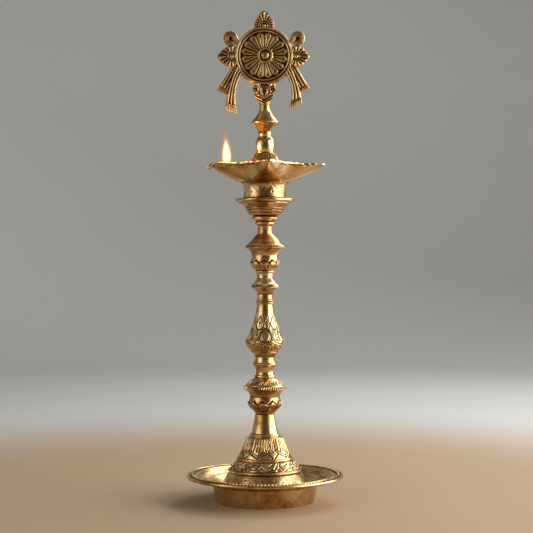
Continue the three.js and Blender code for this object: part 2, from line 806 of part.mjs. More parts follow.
// Finial stem: bulb, saucer disc and slim stalk
const finialStemZ = domeZ + dome.end[1];
const finialStem = new Outline(DOME_TOP_R)
  .level(BULB_R, BULB_RISE)
  .upright(BULB_TOP_R, BULB_FALL, ARC_STEPS + 1)
  .line(THREAD_NECK_R)
  .line(THREAD_NECK_R, THREAD_NECK)
  .line(SAUCER_FOOT_R)
  .line(SAUCER_R, SAUCER_COVE)
  .line(SAUCER_CONE_R, SAUCER_CONE)
  .line(STALK_R, STALK_FALL)
  .line(STALK_TOP_R, STALK_RISE);
add(
  "finial_stem",
  section(finialStem, STEM_SIDES, CAP_SPIGOT, CAP_SPIGOT).translate(0, 0, finialStemZ),
  BRASS,
);

// Wheel emblem: one casting, alike on both faces. It is drawn flat about the wheel's centre,
// across and up, and then stood upright.
function plate(shape, half, curveSegments = 6) {
  const options = { depth: 2 * half, bevelEnabled: false, curveSegments };
  return new THREE.ExtrudeGeometry(shape, options).rotateX(Math.PI / 2).translate(0, half, 0);
}

const outlined = (points) => new THREE.Shape(points.map(([x, y]) => new THREE.Vector2(x, y)));

function disc(radius, half, sides) {
  return new THREE.CylinderGeometry(radius, radius, 2 * half, sides);
}

// Both faces of a turned profile, given from the axis outwards as [radius, half thickness]
function turnedPlate(profile, sides) {
  const back = profile.map(([r, half]) => [r, -half]);
  const front = [...profile].reverse();
  return turned([...back, ...front], sides).rotateX(-Math.PI / 2);
}

const fieldR = WHEEL_R - RIM_RING - RIM_GROOVE - INNER_RING;
const wheel = turnedPlate(
  [
    [0, FIELD_HALF],
    [fieldR, FIELD_HALF],
    [fieldR, RING_HALF],
    [fieldR + INNER_RING, RING_HALF],
    [fieldR + INNER_RING, GROOVE_HALF],
    [WHEEL_R - RIM_RING, GROOVE_HALF],
    [WHEEL_R - RIM_RING, RING_HALF],
    [WHEEL_R, RING_HALF],
  ],
  WHEEL_SIDES,
);
const hub = turnedPlate(
  [
    [0, HUB_DOME_HALF],
    [HUB_SHOULDER_R, HUB_SHOULDER_HALF],
    [HUB_DOME_R, GROOVE_HALF],
    [HUB_R - HUB_RING, GROOVE_HALF],
    [HUB_R - HUB_RING, HUB_HALF],
    [HUB_R, HUB_HALF],
  ],
  HUB_SIDES,
);

// One petal, pointing up: a raised edge round a pointed hollow
function petal() {
  const rootY = HUB_R - HUB_RING / 2;
  const tipY = fieldR - PETAL_TIP_GAP;
  const shoulderY = tipY - PETAL_SHOULDER;
  const shape = outlined([
    [PETAL_ROOT_HALF_WIDTH, rootY],
    [PETAL_HALF_WIDTH, shoulderY],
    [0, tipY],
    [-PETAL_HALF_WIDTH, shoulderY],
    [-PETAL_ROOT_HALF_WIDTH, rootY],
  ]);
  const hollowHalf = PETAL_HALF_WIDTH - PETAL_RIM;
  shape.holes.push(
    outlined([
      [0, rootY + PETAL_SHOULDER],
      [-hollowHalf, shoulderY],
      [0, tipY - PETAL_RIM],
      [hollowHalf, shoulderY],
    ]),
  );
  return plate(shape, PETAL_HALF);
}

const petals = [];
for (let k = 0; k < PETALS; k += 1) {
  petals.push(petal().rotateY((2 * Math.PI * (k + 0.5)) / PETALS));
}

// A bar from one point to another, seen from the front
function bar([x0, y0], [x1, y1], width, half) {
  const along = new THREE.Vector2(x1 - x0, y1 - y0).normalize().multiplyScalar(width / 2);
  return plate(
    outlined([
      [x0 + along.y, y0 - along.x],
      [x1 + along.y, y1 - along.x],
      [x1 - along.y, y1 + along.x],
      [x0 - along.y, y0 + along.x],
    ]),
    half,
  );
}

// A pointed leaf with ribs fanning out from a half-round boss, pointing up from its base line
function leaf(halfWidth, height, bossR) {
  const tip = new THREE.Vector2(0, height);
  const root = new THREE.Vector2(halfWidth, 0);
  const upright = new THREE.Vector2(halfWidth, height * LEAF_FULLNESS);
  const side = new THREE.QuadraticBezierCurve(root, upright, tip);
  const edge = side.getPoints(LEAF_STEPS).map((p) => [p.x, p.y]);
  const mirrored = edge.slice(0, -1).reverse().map(([x, y]) => [-x, y]);
  const pieces = [plate(outlined([...edge, ...mirrored]), LEAF_HALF)];
  for (let i = 0; i < LEAF_RIBS; i += 1) {
    const share = (2 * i) / (LEAF_RIBS - 1) - 1;
    const end = side.getPoint(1 - Math.abs(share) * RIB_FAN);
    const to = [Math.sign(share) * end.x * RIB_STOP, end.y * RIB_STOP];
    const reach = Math.hypot(...to);
    const from = [(to[0] * bossR) / reach / 2, (to[1] * bossR) / reach / 2];
    pieces.push(bar(from, to, RIB_WIDTH, RIB_HALF));
  }
  pieces.push(disc(bossR, RING_HALF, BOSS_SIDES));
  return pieces;
}

// Stands a piece that points up on the rim, at an angle from straight up, clockwise from the front
const onRim = (geometry, angle) =>
  geometry.translate(0, 0, WHEEL_R - LEAF_SINK).rotateY(degrees(angle));

function loop() {
  const centre = LOOP_FROM_RIM + LEAF_SINK;
  const shape = new THREE.Shape();
  shape.absarc(0, centre, LOOP_R, 0, 2 * Math.PI);
  const hole = new THREE.Path();
  hole.absarc(0, centre, LOOP_HOLE_R, 0, 2 * Math.PI, true);
  shape.holes.push(hole);
  return [
    plate(shape, LOOP_HALF),
    bar([0, 0], [0, centre - LOOP_HOLE_R - RIB_WIDTH], LOOP_NECK, LOOP_NECK_HALF),
  ];
}

// One ribbon: two long edges, lengthwise folds, and a sewn band near the end
function ribbon({ outside, inside }, side, half) {
  const knot = polar(WHEEL_R, RIBBON_KNOT_ANGLE);
  const place = ([across, down]) => [side * (knot[0] + across), knot[1] - down];
  const curve = (points) =>
    new THREE.SplineCurve(points.map(place).map(([x, y]) => new THREE.Vector2(x, y)));
  const [outer, inner] = [curve(outside), curve(inside)];
  const between = (t, share) => {
    const point = outer.getPoint(t).lerp(inner.getPoint(t), share);
    return [point.x, point.y];
  };
  const loopOf = (share0, share1, ts) => {
    const points = [
      ...ts.map((t) => between(t, share0)),
      ...[...ts].reverse().map((t) => between(t, share1)),
    ];
    return outlined(side > 0 ? points : points.reverse());
  };
  const length = outer.getLength();
  const bandT = 1 - RIBBON_BAND_FROM_END / length;
  const pieces = [plate(loopOf(0, 1, [0, 0.5, 1]), half)];
  for (const share of RIBBON_RIDGES) {
    const fold = loopOf(share, share + RIBBON_RIDGE_WIDTH, [RIBBON_RIDGE_START, 0.5, bandT]);
    pieces.push(plate(fold, half + RIBBON_RIDGE));
  }
  const bandEnds = [bandT, bandT + RIBBON_BAND / length];
  const band = loopOf(RIBBON_BAND_INSET, 1 - RIBBON_BAND_INSET, bandEnds);
  pieces.push(plate(band, half + RIBBON_RIDGE / 2));
  return pieces;
}

function polar(radius, angle) {
  return [radius * Math.sin(degrees(angle)), radius * Math.cos(degrees(angle))];
}

// Web that fills between the rim and the ribbons' root, down to the bracket
function web(side) {
  const rootR = WHEEL_R - RIM_RING / 2;
  const points = [
    polar(WHEEL_R + WEB_OUT, WEB_FROM),
    polar(WHEEL_R + WEB_OUT, WEB_TO),
    polar(rootR, WEB_TO + WEB_LAP),
    polar(rootR, (WEB_FROM + WEB_TO) / 2),
    polar(rootR, WEB_FROM - WEB_LAP),
  ].map(([x, y]) => [side * x, y]);
  return plate(outlined(side > 0 ? points : points.reverse()), WEB_HALF);
}

// Bracket between the stalk and the wheel: a volute at each shoulder over a pointed leaf
function bracket() {
  const top = -WHEEL_R + RIM_RING / 2;
  const foot = -WHEEL_R - BRACKET_H;
  const voluteY = -WHEEL_R - VOLUTE_DROP;
  const side = [
    [BRACKET_FOOT, foot],
    [BRACKET_FOOT, foot + BRACKET_FOOT_RISE],
    [BRACKET_LEAF, foot + BRACKET_LEAF_RISE],
    [BRACKET_WAIST, voluteY - VOLUTE_R],
    [BRACKET_HALF_WIDTH + VOLUTE_BULGE, voluteY],
    [BRACKET_HALF_WIDTH, top],
  ];
  const mirrored = [...side].reverse().map(([x, y]) => [-x, y]);
  const pieces = [plate(outlined([...side, ...mirrored]), BRACKET_HALF)];
  const ribFoot = [0, foot + BRACKET_RIB_RISE];
  const ribX = BRACKET_LEAF - BRACKET_RIB_INSET;
  const ribY = voluteY - VOLUTE_R - BRACKET_RIB_INSET;
  const eyeHalf = VOLUTE_HALF + RIBBON_RIDGE;
  for (const hand of [-1, 1]) {
    const x = hand * BRACKET_HALF_WIDTH;
    pieces.push(
      bar(ribFoot, [hand * ribX, ribY], RIB_WIDTH, VOLUTE_HALF),
      disc(VOLUTE_R, VOLUTE_HALF, BOSS_SIDES).translate(x, 0, voluteY),
      disc(VOLUTE_EYE_R, eyeHalf, VOLUTE_EYE_SIDES).translate(x, 0, voluteY),
    );
  }
  return pieces;
}

const capSpigot = turned(
  [
    [0, -CAP_SPIGOT.length],
    [CAP_SPIGOT.radius, -CAP_SPIGOT.length],
    [CAP_SPIGOT.radius, BRACKET_HALF],
    [0, BRACKET_HALF],
  ],
  STEM_SIDES,
).translate(0, 0, -WHEEL_R - BRACKET_H);

const emblem = [
  wheel,
  hub,
  ...petals,
  ...leaf(CREST_HALF_WIDTH, CREST_H, CREST_BOSS_R).map((g) => onRim(g, 0)),
  ...bracket(),
  capSpigot,
];
for (const side of [-1, 1]) {
  const palmette = leaf(PALMETTE_HALF_WIDTH, PALMETTE_H, PALMETTE_BOSS_R);
  emblem.push(...palmette.map((g) => onRim(g, side * PALMETTE_ANGLE)));
  emblem.push(...loop().map((g) => onRim(g, side * LOOP_ANGLE)));
  const [outerRibbon, innerRibbon] = side < 0 ? RIBBONS.left : RIBBONS.right;
  emblem.push(...ribbon(outerRibbon, side, RIBBON_HALF));
  emblem.push(...ribbon(innerRibbon, side, RIBBON_HALF + RIBBON_STEP));
  emblem.push(web(side));
}
const wheelZ = finialStemZ + finialStem.end[1] + BRACKET_H + WHEEL_R;
const emblemBody = joined(emblem.map(solid));
add("chakra_emblem", geometryOf(emblemBody).translate(0, 0, wheelZ), BRASS);

export default lamp;
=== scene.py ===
import math

import bpy
import numpy as np
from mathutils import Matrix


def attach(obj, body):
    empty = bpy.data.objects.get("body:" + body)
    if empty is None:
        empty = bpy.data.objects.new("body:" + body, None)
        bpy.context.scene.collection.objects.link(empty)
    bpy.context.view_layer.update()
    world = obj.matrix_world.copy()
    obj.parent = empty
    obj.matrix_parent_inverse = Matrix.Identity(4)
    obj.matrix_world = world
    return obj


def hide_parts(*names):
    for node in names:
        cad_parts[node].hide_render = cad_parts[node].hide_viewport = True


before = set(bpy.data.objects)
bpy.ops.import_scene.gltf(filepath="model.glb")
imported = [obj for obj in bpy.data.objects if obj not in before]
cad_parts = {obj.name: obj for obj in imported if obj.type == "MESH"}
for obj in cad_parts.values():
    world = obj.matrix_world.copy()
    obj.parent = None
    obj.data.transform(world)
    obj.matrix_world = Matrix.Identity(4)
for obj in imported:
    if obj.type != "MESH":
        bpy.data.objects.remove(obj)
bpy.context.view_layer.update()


# Camera, where the photograph was taken from: level with the middle of the stem, 1.35 m in front
# of the lamp. One millimetre at the lamp's axis is one pixel of the picture.
def linked(name, data):
    made = bpy.data.objects.new(name, data)
    scene.collection.objects.link(made)
    return made


scene = bpy.context.scene
scene.view_settings.view_transform = "Standard"
camera_data = bpy.data.cameras.new("camera")
camera_data.sensor_width = 36
camera_data.lens = 91.2
camera = linked("camera", camera_data)
camera.location = (0.0016, -1.35, 0.234)
camera.rotation_euler = (math.pi / 2, 0, 0)
scene.camera = camera


# Studio: a round sweep of pale warm paper, flat under the lamp and rising to a low wall all
# round it. It is open at the top, where the pale ceiling of the room shows.
def new_mesh(name, points, faces):
    mesh = bpy.data.meshes.new(name)
    mesh.from_pydata(points, [], faces)
    return mesh


def node(tree, kind, inputs=None, **settings):
    made = tree.nodes.new(kind)
    for name, value in settings.items():
        setattr(made, name, value)
    for socket, value in (inputs or {}).items():
        if isinstance(value, bpy.types.NodeSocket):
            tree.links.new(value, made.inputs[socket])
        else:
            made.inputs[socket].default_value = value
    return made


def new_material(name):
    """A material, its empty tree, and the place on the piece that its patterns follow."""
    material = bpy.data.materials.new(name)
    material.use_nodes = True
    tree = material.node_tree
    tree.nodes.clear()
    return material, tree, node(tree, "ShaderNodeTexCoord").outputs["Object"]


def noise(tree, place, scale, detail=2.0, **inputs):
    inputs = {"Vector": place, "Scale": scale, "Detail": detail, **inputs}
    return node(tree, "ShaderNodeTexNoise", inputs).outputs["Fac"]


def ranged(tree, value, low, high, **settings):
    """0 at the low value, 1 at the high one."""
    inputs = {"Value": value, "From Min": low, "From Max": high}
    return node(tree, "ShaderNodeMapRange", inputs, **settings).outputs[0]


def blend(tree, share, first, second, way="MIX"):
    return node(tree, "ShaderNodeMix", {"Factor": share, "A": first, "B": second},
                data_type="RGBA", blend_type=way).outputs["Result"]


def bumped(tree, height, strength, distance, **inputs):
    inputs = {"Height": height, "Strength": strength, "Distance": distance, **inputs}
    return node(tree, "ShaderNodeBump", inputs).outputs["Normal"]


def surface(tree, inputs):
    skin = node(tree, "ShaderNodeBsdfPrincipled", inputs)
    node(tree, "ShaderNodeOutputMaterial", {"Surface": skin.outputs["BSDF"]})


SWEEP_FLAT, SWEEP_BEND, SWEEP_TOP, SWEEP_SIDES = 1.7, 0.8, 1.5, 96
bend = np.linspace(0, math.pi / 2, 13)
sweep_r = [0.02, 0.5, 1.0, *(SWEEP_FLAT + SWEEP_BEND * np.sin(bend)), SWEEP_FLAT + SWEEP_BEND]
sweep_z = [0, 0, 0, *(SWEEP_BEND * (1 - np.cos(bend))), SWEEP_TOP]
sweep_points, sweep_faces = [(0, 0, 0)], []
for r, z in zip(sweep_r, sweep_z):
    for k in range(SWEEP_SIDES):
        a = 2 * math.pi * k / SWEEP_SIDES
        sweep_points.append((r * math.sin(a), -r * math.cos(a), z))
for k in range(SWEEP_SIDES):
    m = (k + 1) % SWEEP_SIDES
    sweep_faces.append((0, 1 + k, 1 + m))
    for i in range(len(sweep_r) - 1):
        a, b = 1 + i * SWEEP_SIDES, 1 + (i + 1) * SWEEP_SIDES
        sweep_faces.append((a + k, b + k, b + m, a + m))
paper, tree, place = new_material("pale_paper")
shade = blend(tree, noise(tree, place, 1.3, 1.0), (0.96, 0.96, 0.96, 1), (1, 1, 1, 1))
away = node(tree, "ShaderNodeVectorMath", {0: place}, operation="LENGTH").outputs["Value"]
far = ranged(tree, away, 0.35, 0.85, interpolation_type="SMOOTHSTEP")
warm = blend(tree, far, (0.50, 0.36, 0.24, 1), (0.66, 0.665, 0.655, 1))
surface(tree, {"Base Color": blend(tree, 1.0, warm, shade, "MULTIPLY"),
               "Normal": bumped(tree, noise(tree, place, 900.0), 0.1, 0.0002),
               "Roughness": 0.75, "Specular IOR Level": 0.2})
sweep = linked("paper_sweep", new_mesh("paper_sweep", sweep_points, sweep_faces))
sweep.data.shade_smooth()
sweep.data.materials.append(paper)

world = bpy.data.worlds.new("ceiling")
world.use_nodes = True
world.node_tree.nodes["Background"].inputs["Color"].default_value = (0.84, 0.79, 0.72, 1)
world.node_tree.nodes["Background"].inputs["Strength"].default_value = 0.22
scene.world = world


# Lights: a broad soft window to the right, a smaller and much weaker one to the left, and one
# high up behind that picks out the tops of the discs.
def softbox(name, azimuth, distance, height, width, tall, watts, colour):
    data = bpy.data.lights.new(name, "AREA")
    data.shape = "RECTANGLE"
    data.size, data.size_y = width, tall
    data.energy = watts
    data.color = colour
    light = linked(name, data)
    turn = math.radians(azimuth)
    light.location = (distance * math.sin(turn), -distance * math.cos(turn), height)
    aim = math.atan2(height - LAMP_MIDDLE, distance)
    light.rotation_euler = (math.pi / 2 - aim, 0, turn)


LAMP_MIDDLE = 0.25
softbox("window_right", 86, 1.25, 0.55, 1.8, 1.3, 31.0, (1.0, 0.99, 0.97))
softbox("window_left", -60, 1.3, 0.55, 1.0, 1.2, 4.4, (1.0, 0.95, 0.88))
softbox("high_back", 148, 1.3, 1.25, 1.1, 0.8, 11.0, (1.0, 0.98, 0.95))

# A dark cloth hangs behind the camera, so that the middle of each round piece reflects something
# dark, as in the room of the photograph. It isn't in the picture and casts no shadow.
CLOTH_R, CLOTH_LOW, CLOTH_HIGH = 1.62, 0.03, 1.1
CLOTH_LEFT, CLOTH_RIGHT = -24, 40  # degrees from straight ahead
cloth_points, cloth_faces = [], []
for k, turn in enumerate(np.radians(np.linspace(CLOTH_LEFT, CLOTH_RIGHT, 9))):
    x, y = CLOTH_R * math.sin(turn), -CLOTH_R * math.cos(turn)
    cloth_points += [(x, y, CLOTH_LOW), (x, y, CLOTH_HIGH)]
    if k:
        cloth_faces.append((2 * k - 2, 2 * k, 2 * k + 1, 2 * k - 1))
felt, tree, place = new_material("dark_felt")
brown = blend(tree, noise(tree, place, 400.0), (0.10, 0.055, 0.025, 1), (0.14, 0.08, 0.04, 1))
surface(tree, {"Base Color": brown, "Roughness": 0.9, "Specular IOR Level": 0.1})
cloth = linked("dark_cloth", new_mesh("dark_cloth", cloth_points, cloth_faces))
cloth.data.materials.append(felt)
cloth.visible_camera = False
cloth.visible_shadow = False


# Drip tray: cast brass dish, turned, with a broad flange that carries a rope-twist band between
# two fine lines and a rolled edge, on a foot ring that is hollow underneath.
MM = 0.001
STEP = 0.12  # spacing of the points of an outline before it is thinned, in mm


class Outline:
    """Half section of a turned piece in mm, drawn upwards. Each run gives the radius that it
    reaches and its rise, and may name the zone that it belongs to."""

    def __init__(self, radius, z):
        self.points, self.zones = [(radius, z)], [""]

    @property
    def end(self):
        return self.points[-1]

    def _run(self, radius, rise, across, up, zone, length, bow=0.0):
        (r0, z0), wide = self.end, radius - self.end[0]
        chord = math.hypot(wide, rise) or 1.0
        count = max(3, round(length / STEP))
        for i in range(1, count + 1):
            t = i / count
            out = bow * 4 * t * (1 - t)
            self.points.append((r0 + wide * across(t) + out * rise / chord,
                                z0 + rise * up(t) - out * wide / chord))
            self.zones.append(zone)
        return self

    def line(self, radius, rise=0.0, zone="", bow=0.0):
        length = math.hypot(radius - self.end[0], rise)
        return self._run(radius, rise, lambda t: t, lambda t: t, zone, length, bow)

    def to(self, radius, z, zone=""):
        return self.line(radius, z - self.end[1], zone)

    def through(self, places, zone=""):
        """A smooth curve through places, each given as radius and height."""
        p = np.array([self.end, *places], float)
        knots = np.concatenate([[0], np.cumsum(np.hypot(*np.diff(p, axis=0).T))])
        slope = np.gradient(p, knots, axis=0)
        count = max(3, round(knots[-1] / STEP))
        t = np.linspace(0, knots[-1], count + 1)[1:]
        i = np.clip(np.searchsorted(knots, t) - 1, 0, len(p) - 2)
        span = (knots[i + 1] - knots[i])[:, None]
        u = (t - knots[i])[:, None] / span
        curve = (p[i] * (1 + 2 * u) * (1 - u) ** 2 + p[i + 1] * (3 - 2 * u) * u ** 2
                 + span * u * (1 - u) * (slope[i] * (1 - u) - slope[i + 1] * u))
        self.points += [tuple(place) for place in curve.tolist()]
        self.zones += [zone] * count
        return self

    def upright(self, radius, rise, zone=""):
        """Leaves upright and arrives level: a cove going out, a shoulder going in."""
        length = abs(radius - self.end[0]) + abs(rise)
        return self._run(radius, rise, lambda t: 1 - math.cos(t * math.pi / 2),
                         lambda t: math.sin(t * math.pi / 2), zone, length)

    def level(self, radius, rise, zone=""):
        """Leaves level and arrives upright: a belly going out, a cove going in."""
        length = abs(radius - self.end[0]) + abs(rise)
        return self._run(radius, rise, lambda t: math.sin(t * math.pi / 2),
                         lambda t: 1 - math.cos(t * math.pi / 2), zone, length)

    def bead(self, radius, rise, zone=""):
        start = self.end[0]
        return self.level(radius, rise / 2, zone).upright(start, rise / 2, zone)

    def rows(self, soften, fine, coarse):
        """The outline with its edges rounded and its points thinned: radius, height, distance
        along its zone, outward normal and zone of each row."""
        p = np.array(self.points, float)
        for _ in range(round(2 * (soften / STEP) ** 2)):
            p[1:-1] = (p[:-2] + 2 * p[1:-1] + p[2:]) / 4
        p[:, 0] = np.maximum(p[:, 0], 0)
        away = np.diff(p, axis=0)
        reach = np.hypot(*away.T)
        heading = np.unwrap(np.arctan2(away[:, 1], away[:, 0]))
        along = np.concatenate([[0], np.cumsum(reach)])
        kept, last = [0], 0
        for i in range(1, len(p) - 1):
            limit = {"": coarse, "inside": 3.0}.get(self.zones[i], fine)
            bent = abs(heading[i] - heading[max(last - 1, 0)])
            far = along[i] - along[last]
            if far >= limit or (bent > 0.16 and far > 0.1) or self.zones[i] != self.zones[i - 1]:
                kept.append(i)
                last = i
        kept.append(len(p) - 1)
        tangent = np.gradient(p, axis=0)[kept]
        tangent /= np.hypot(*tangent.T)[:, None] + 1e-9
        zones = [self.zones[i] for i in kept]
        start = {}
        for i, zone in enumerate(self.zones):
            start.setdefault(zone, along[max(i - 1, 0)])
        s = np.array([along[i] - start[self.zones[i]] for i in kept])
        return p[kept, 0], p[kept, 1], s, tangent[:, 1], -tangent[:, 0], zones


def mark_patina_and_shade(mesh, passes=6, depth=0.07, slack=0.045):
    """Gives each point of the mesh the value that the brass darkens by, partly patina in its cuts and
    partly painted shade: 0.5 where it is flat, up to 1 deep in a cut, down to 0 on a worn edge.
    Points that are far apart count for less."""
    count = len(mesh.vertices)
    place = np.empty(count * 3, np.float32)
    mesh.vertices.foreach_get("co", place)
    place = place.reshape(-1, 3).astype(float)
    normal = np.empty(count * 3, np.float32)
    mesh.vertex_normals.foreach_get("vector", normal)
    ends = np.empty(len(mesh.edges) * 2, np.int32)
    mesh.edges.foreach_get("vertices", ends)
    a, b = ends.reshape(-1, 2).T
    share = np.bincount(a, minlength=count) + np.bincount(b, minlength=count)
    span = np.linalg.norm(place[a] - place[b], axis=1)
    pitch = (np.bincount(a, span, count) + np.bincount(b, span, count)) / np.maximum(share, 1)
    eased = place.copy()
    for _ in range(passes):
        near = [np.bincount(a, eased[b, k], count) + np.bincount(b, eased[a, k], count)
                for k in range(3)]
        eased = 0.4 * eased + 0.6 * np.stack(near, 1) / np.maximum(share, 1)[:, None]
    sunk = ((eased - place) * normal.reshape(-1, 3)).sum(1) / MM
    sunk *= np.minimum(0.45 * MM / np.maximum(pitch, 1e-6), 1) ** 2
    sunk = np.sign(sunk) * np.maximum(np.abs(sunk) - slack, 0) / depth
    # Stored as the darkening value: patina in cuts, and painted shade in hollows.
    patina_and_shade = mesh.attributes.new("patina_and_shade", "FLOAT", "POINT")
    patina_and_shade.data.foreach_set("value", np.clip(0.5 + 0.5 * sunk, 0, 1).astype(np.float32))


def shown(name, points, faces, material, smooth=True):
    """A piece from points in mm and faces."""
    mesh = new_mesh(name, np.asarray(points, float) * MM, faces)
    if smooth:
        mesh.shade_smooth()
    # Patina and painted shade in the piece's hollows, which its brass darkens by.
    mark_patina_and_shade(mesh)
    mesh.materials.append(material)
    return linked(name, mesh)


def grid_faces(rows, sides):
    """Faces of a skin of rows of points that run right round."""
    i, k = np.meshgrid(np.arange(rows - 1), np.arange(sides), indexing="ij")
    m = (k + 1) % sides
    a = i * sides
    b = a + sides
    return np.stack([a + k, a + m, b + m, b + k], -1).reshape(-1, 4).tolist()


def capped_faces(rows, sides):
    """The same, closed at its foot and head by two more points that follow the rows."""
    faces = grid_faces(rows, sides)
    foot, last = rows * sides, (rows - 1) * sides
    for k in range(sides):
        m = (k + 1) % sides
        faces += [(foot, m, k), (foot + 1, last + k, last + m)]
    return faces


def turned(outline, sides=256, carving=None, soften=0.22, fine=0.4, coarse=0.55):
    """Points and faces of a turned piece. Angles are measured from the front, towards +X. Each
    carved zone has a rule that gives the height of the relief in mm."""
    r, z, s, nr, nz, zones = outline.rows(soften, fine, coarse)
    a = 2 * np.pi * np.arange(sides) / sides
    relief = np.zeros((len(r), sides))
    for zone, rule in (carving or {}).items():
        rows = np.array([zone == name for name in zones])
        relief[rows] = rule(a[None, :], s[rows, None], z[rows, None], r[rows, None])
    radius = np.maximum(r[:, None] + nr[:, None] * relief, 0)
    height = z[:, None] + nz[:, None] * relief
    points = np.stack([radius * np.sin(a), -radius * np.cos(a), height], -1)
    if r[0] > 0 and r[-1] > 0:  # a bored piece: the outline ends where it begins
        faces = grid_faces(len(r), sides)
        seam = {(len(r) - 1) * sides + k: k for k in range(sides)}
        faces = [[seam.get(v, v) for v in face] for face in faces]
        return points[:-1].reshape(-1, 3), faces
    ends = [(0, 0, z[0]), (0, 0, z[-1])]
    return np.concatenate([points[1:-1].reshape(-1, 3), ends]), capped_faces(len(r) - 2, sides)


def cells(a, r, count, first):
    """Distance in mm along the surface from the nearest of a number of even centre lines."""
    part = 2 * np.pi / count
    return ((a - math.radians(first) + part / 2) % part - part / 2) * r


def cut(distance, half_width, depth):
    """An engraved line with steep sides and a flat floor."""
    return -depth * np.clip(1 - (distance / half_width) ** 4, 0, 1)


def to_path(x, z, path):
    """Distance of each place from a drawn line of straight strokes."""
    nearest = np.full(np.broadcast(x, z).shape, 99.0)
    for (x0, z0), (x1, z1) in zip(path, path[1:]):
        length = (x1 - x0) ** 2 + (z1 - z0) ** 2
        way = np.clip(((x - x0) * (x1 - x0) + (z - z0) * (z1 - z0)) / length, 0, 1)
        nearest = np.minimum(nearest, np.hypot(x - x0 - way * (x1 - x0), z - z0 - way * (z1 - z0)))
    return nearest


def strokes(x, z, paths, half_width=0.55, depth=0.55):
    """Engraved lines, each drawn through its places: across and height in mm."""
    return cut(np.minimum.reduce([to_path(x, z, path) for path in paths]), half_width, depth)


def leaf_edge(x, z, half_outline):
    """Distance from the outline of a leaf that is alike on both sides, negative inside it."""
    places = np.array(half_outline, float)
    order = np.argsort(places[:, 1])
    half = np.interp(z, places[order, 1], places[order, 0], left=-9, right=-9)
    off = to_path(np.abs(x), z, half_outline)
    return np.where(np.abs(x) < half, -off, off)


def window(value, low, high, soft=0.5):
    """1 between two values, fading out over a soft edge."""
    return np.clip((value - low) / soft, 0, 1) * np.clip((high - value) / soft, 0, 1)


def maths(tree, operation, *values):
    return node(tree, "ShaderNodeMath", dict(enumerate(values)), operation=operation).outputs[0]


def brass(name, gold, tarnish, soot_and_shade, roughness, lines, grain):
    """Brass with turning lines, casting grain, worn edges, and dark patina and painted shade in its
    hollows and under its beads.
    """
    material, tree, place = new_material(name)
    flat = node(tree, "ShaderNodeVectorMath", {0: place, 1: (1, 1, 0)}, operation="MULTIPLY")
    radius = node(tree, "ShaderNodeVectorMath", {0: flat.outputs[0]}, operation="LENGTH")
    height = node(tree, "ShaderNodeSeparateXYZ", {"Vector": place}).outputs["Z"]
    path = maths(tree, "MULTIPLY_ADD", radius.outputs["Value"], 0.8, height)
    turning = node(tree, "ShaderNodeTexNoise", {"W": path, "Scale": 1100.0, "Detail": 3.0},
                   noise_dimensions="1D").outputs["Fac"]
    mottle = noise(tree, place, 60.0, 5.0, Roughness=0.62)
    speck = noise(tree, place, 700.0, 3.0)
    # Darkening in cuts, hollows and under beads, partly patina and partly painted shade; the ramp runs
    # from white through brown to the darkest colour.
    patina_and_shade = node(tree, "ShaderNodeAttribute", attribute_name="patina_and_shade").outputs["Fac"]
    blotch_and_shade = maths(tree, "MULTIPLY_ADD", mottle, 0.36, patina_and_shade)
    dirt_and_shade = ranged(tree, maths(tree, "MULTIPLY_ADD", speck, 0.08, blotch_and_shade), 0.70, 1.0)
    clean = blend(tree, ranged(tree, mottle, 0.35, 0.72), gold, tarnish)
    stain_and_shade = node(tree, "ShaderNodeValToRGB", {"Fac": dirt_and_shade})
    stops = stain_and_shade.color_ramp.elements
    stops[0].color, stops[1].color = (1, 1, 1, 1), soot_and_shade
    stops.new(0.35).color = (0.52, 0.36, 0.19, 1)
    dull = maths(tree, "MULTIPLY_ADD", dirt_and_shade, 0.35, roughness)
    fine_lines = bumped(tree, turning, lines, 0.00006)
    surface(tree, {"Base Color": blend(tree, 1.0, clean, stain_and_shade.outputs["Color"], "MULTIPLY"),
                   "Roughness": maths(tree, "MULTIPLY_ADD", mottle, 0.14, dull),
                   "Metallic": 1.0,
                   "Normal": bumped(tree, speck, grain, 0.00012, Normal=fine_lines)})
    return material


# The third colour of each brass is the one deep in its cuts and hollows: patina there, and painted
# shade.
plain_brass = brass("plain_brass", (0.80, 0.58, 0.31, 1), (0.56, 0.34, 0.11, 1),
                    (0.10, 0.05, 0.02, 1), 0.17, 0.5, 0.12)
turned_brass = brass("turned_brass", (0.79, 0.57, 0.31, 1), (0.46, 0.26, 0.08, 1),
                     (0.05, 0.022, 0.008, 1), 0.16, 0.35, 0.2)

TRAY_R = 78.5
tray = (
    Outline(4.3, 8.5).line(46.5).line(46.5, -8.5).line(49.3)
    .through([(50.2, 5), (51.2, 11.5), (52.4, 17.6)]).through([(54.8, 19.8), (66, 21.9), (77.2, 23.8)])
    .level(TRAY_R, 1.6).upright(77.1, 1.5)
    .to(76.7, 26.4).to(76.3, 26.7).to(75.8, 26.4).to(75.4, 26.3, "band").to(70.8, 26.0, "band")
    .to(70.4, 26.4).to(69.8, 26.4).to(69.4, 26.1).to(67.9, 26.1).to(67.6, 26.7).to(67.0, 26.7)
    .to(65.4, 24.0).through([(63.0, 22.0), (58.6, 20.4), (53.4, 18.2), (50.4, 14.8)])
    .level(48, -3.8).to(4.3, 11.0).to(4.3, 8.5)
)
piece = shown("tray", *turned(tray, 400, {"band": lambda a, s, z, r: -0.8 * window(s, 0.2, 4.4)},
                              coarse=1.5), plain_brass)
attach(piece, "base")
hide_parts("drip_tray")


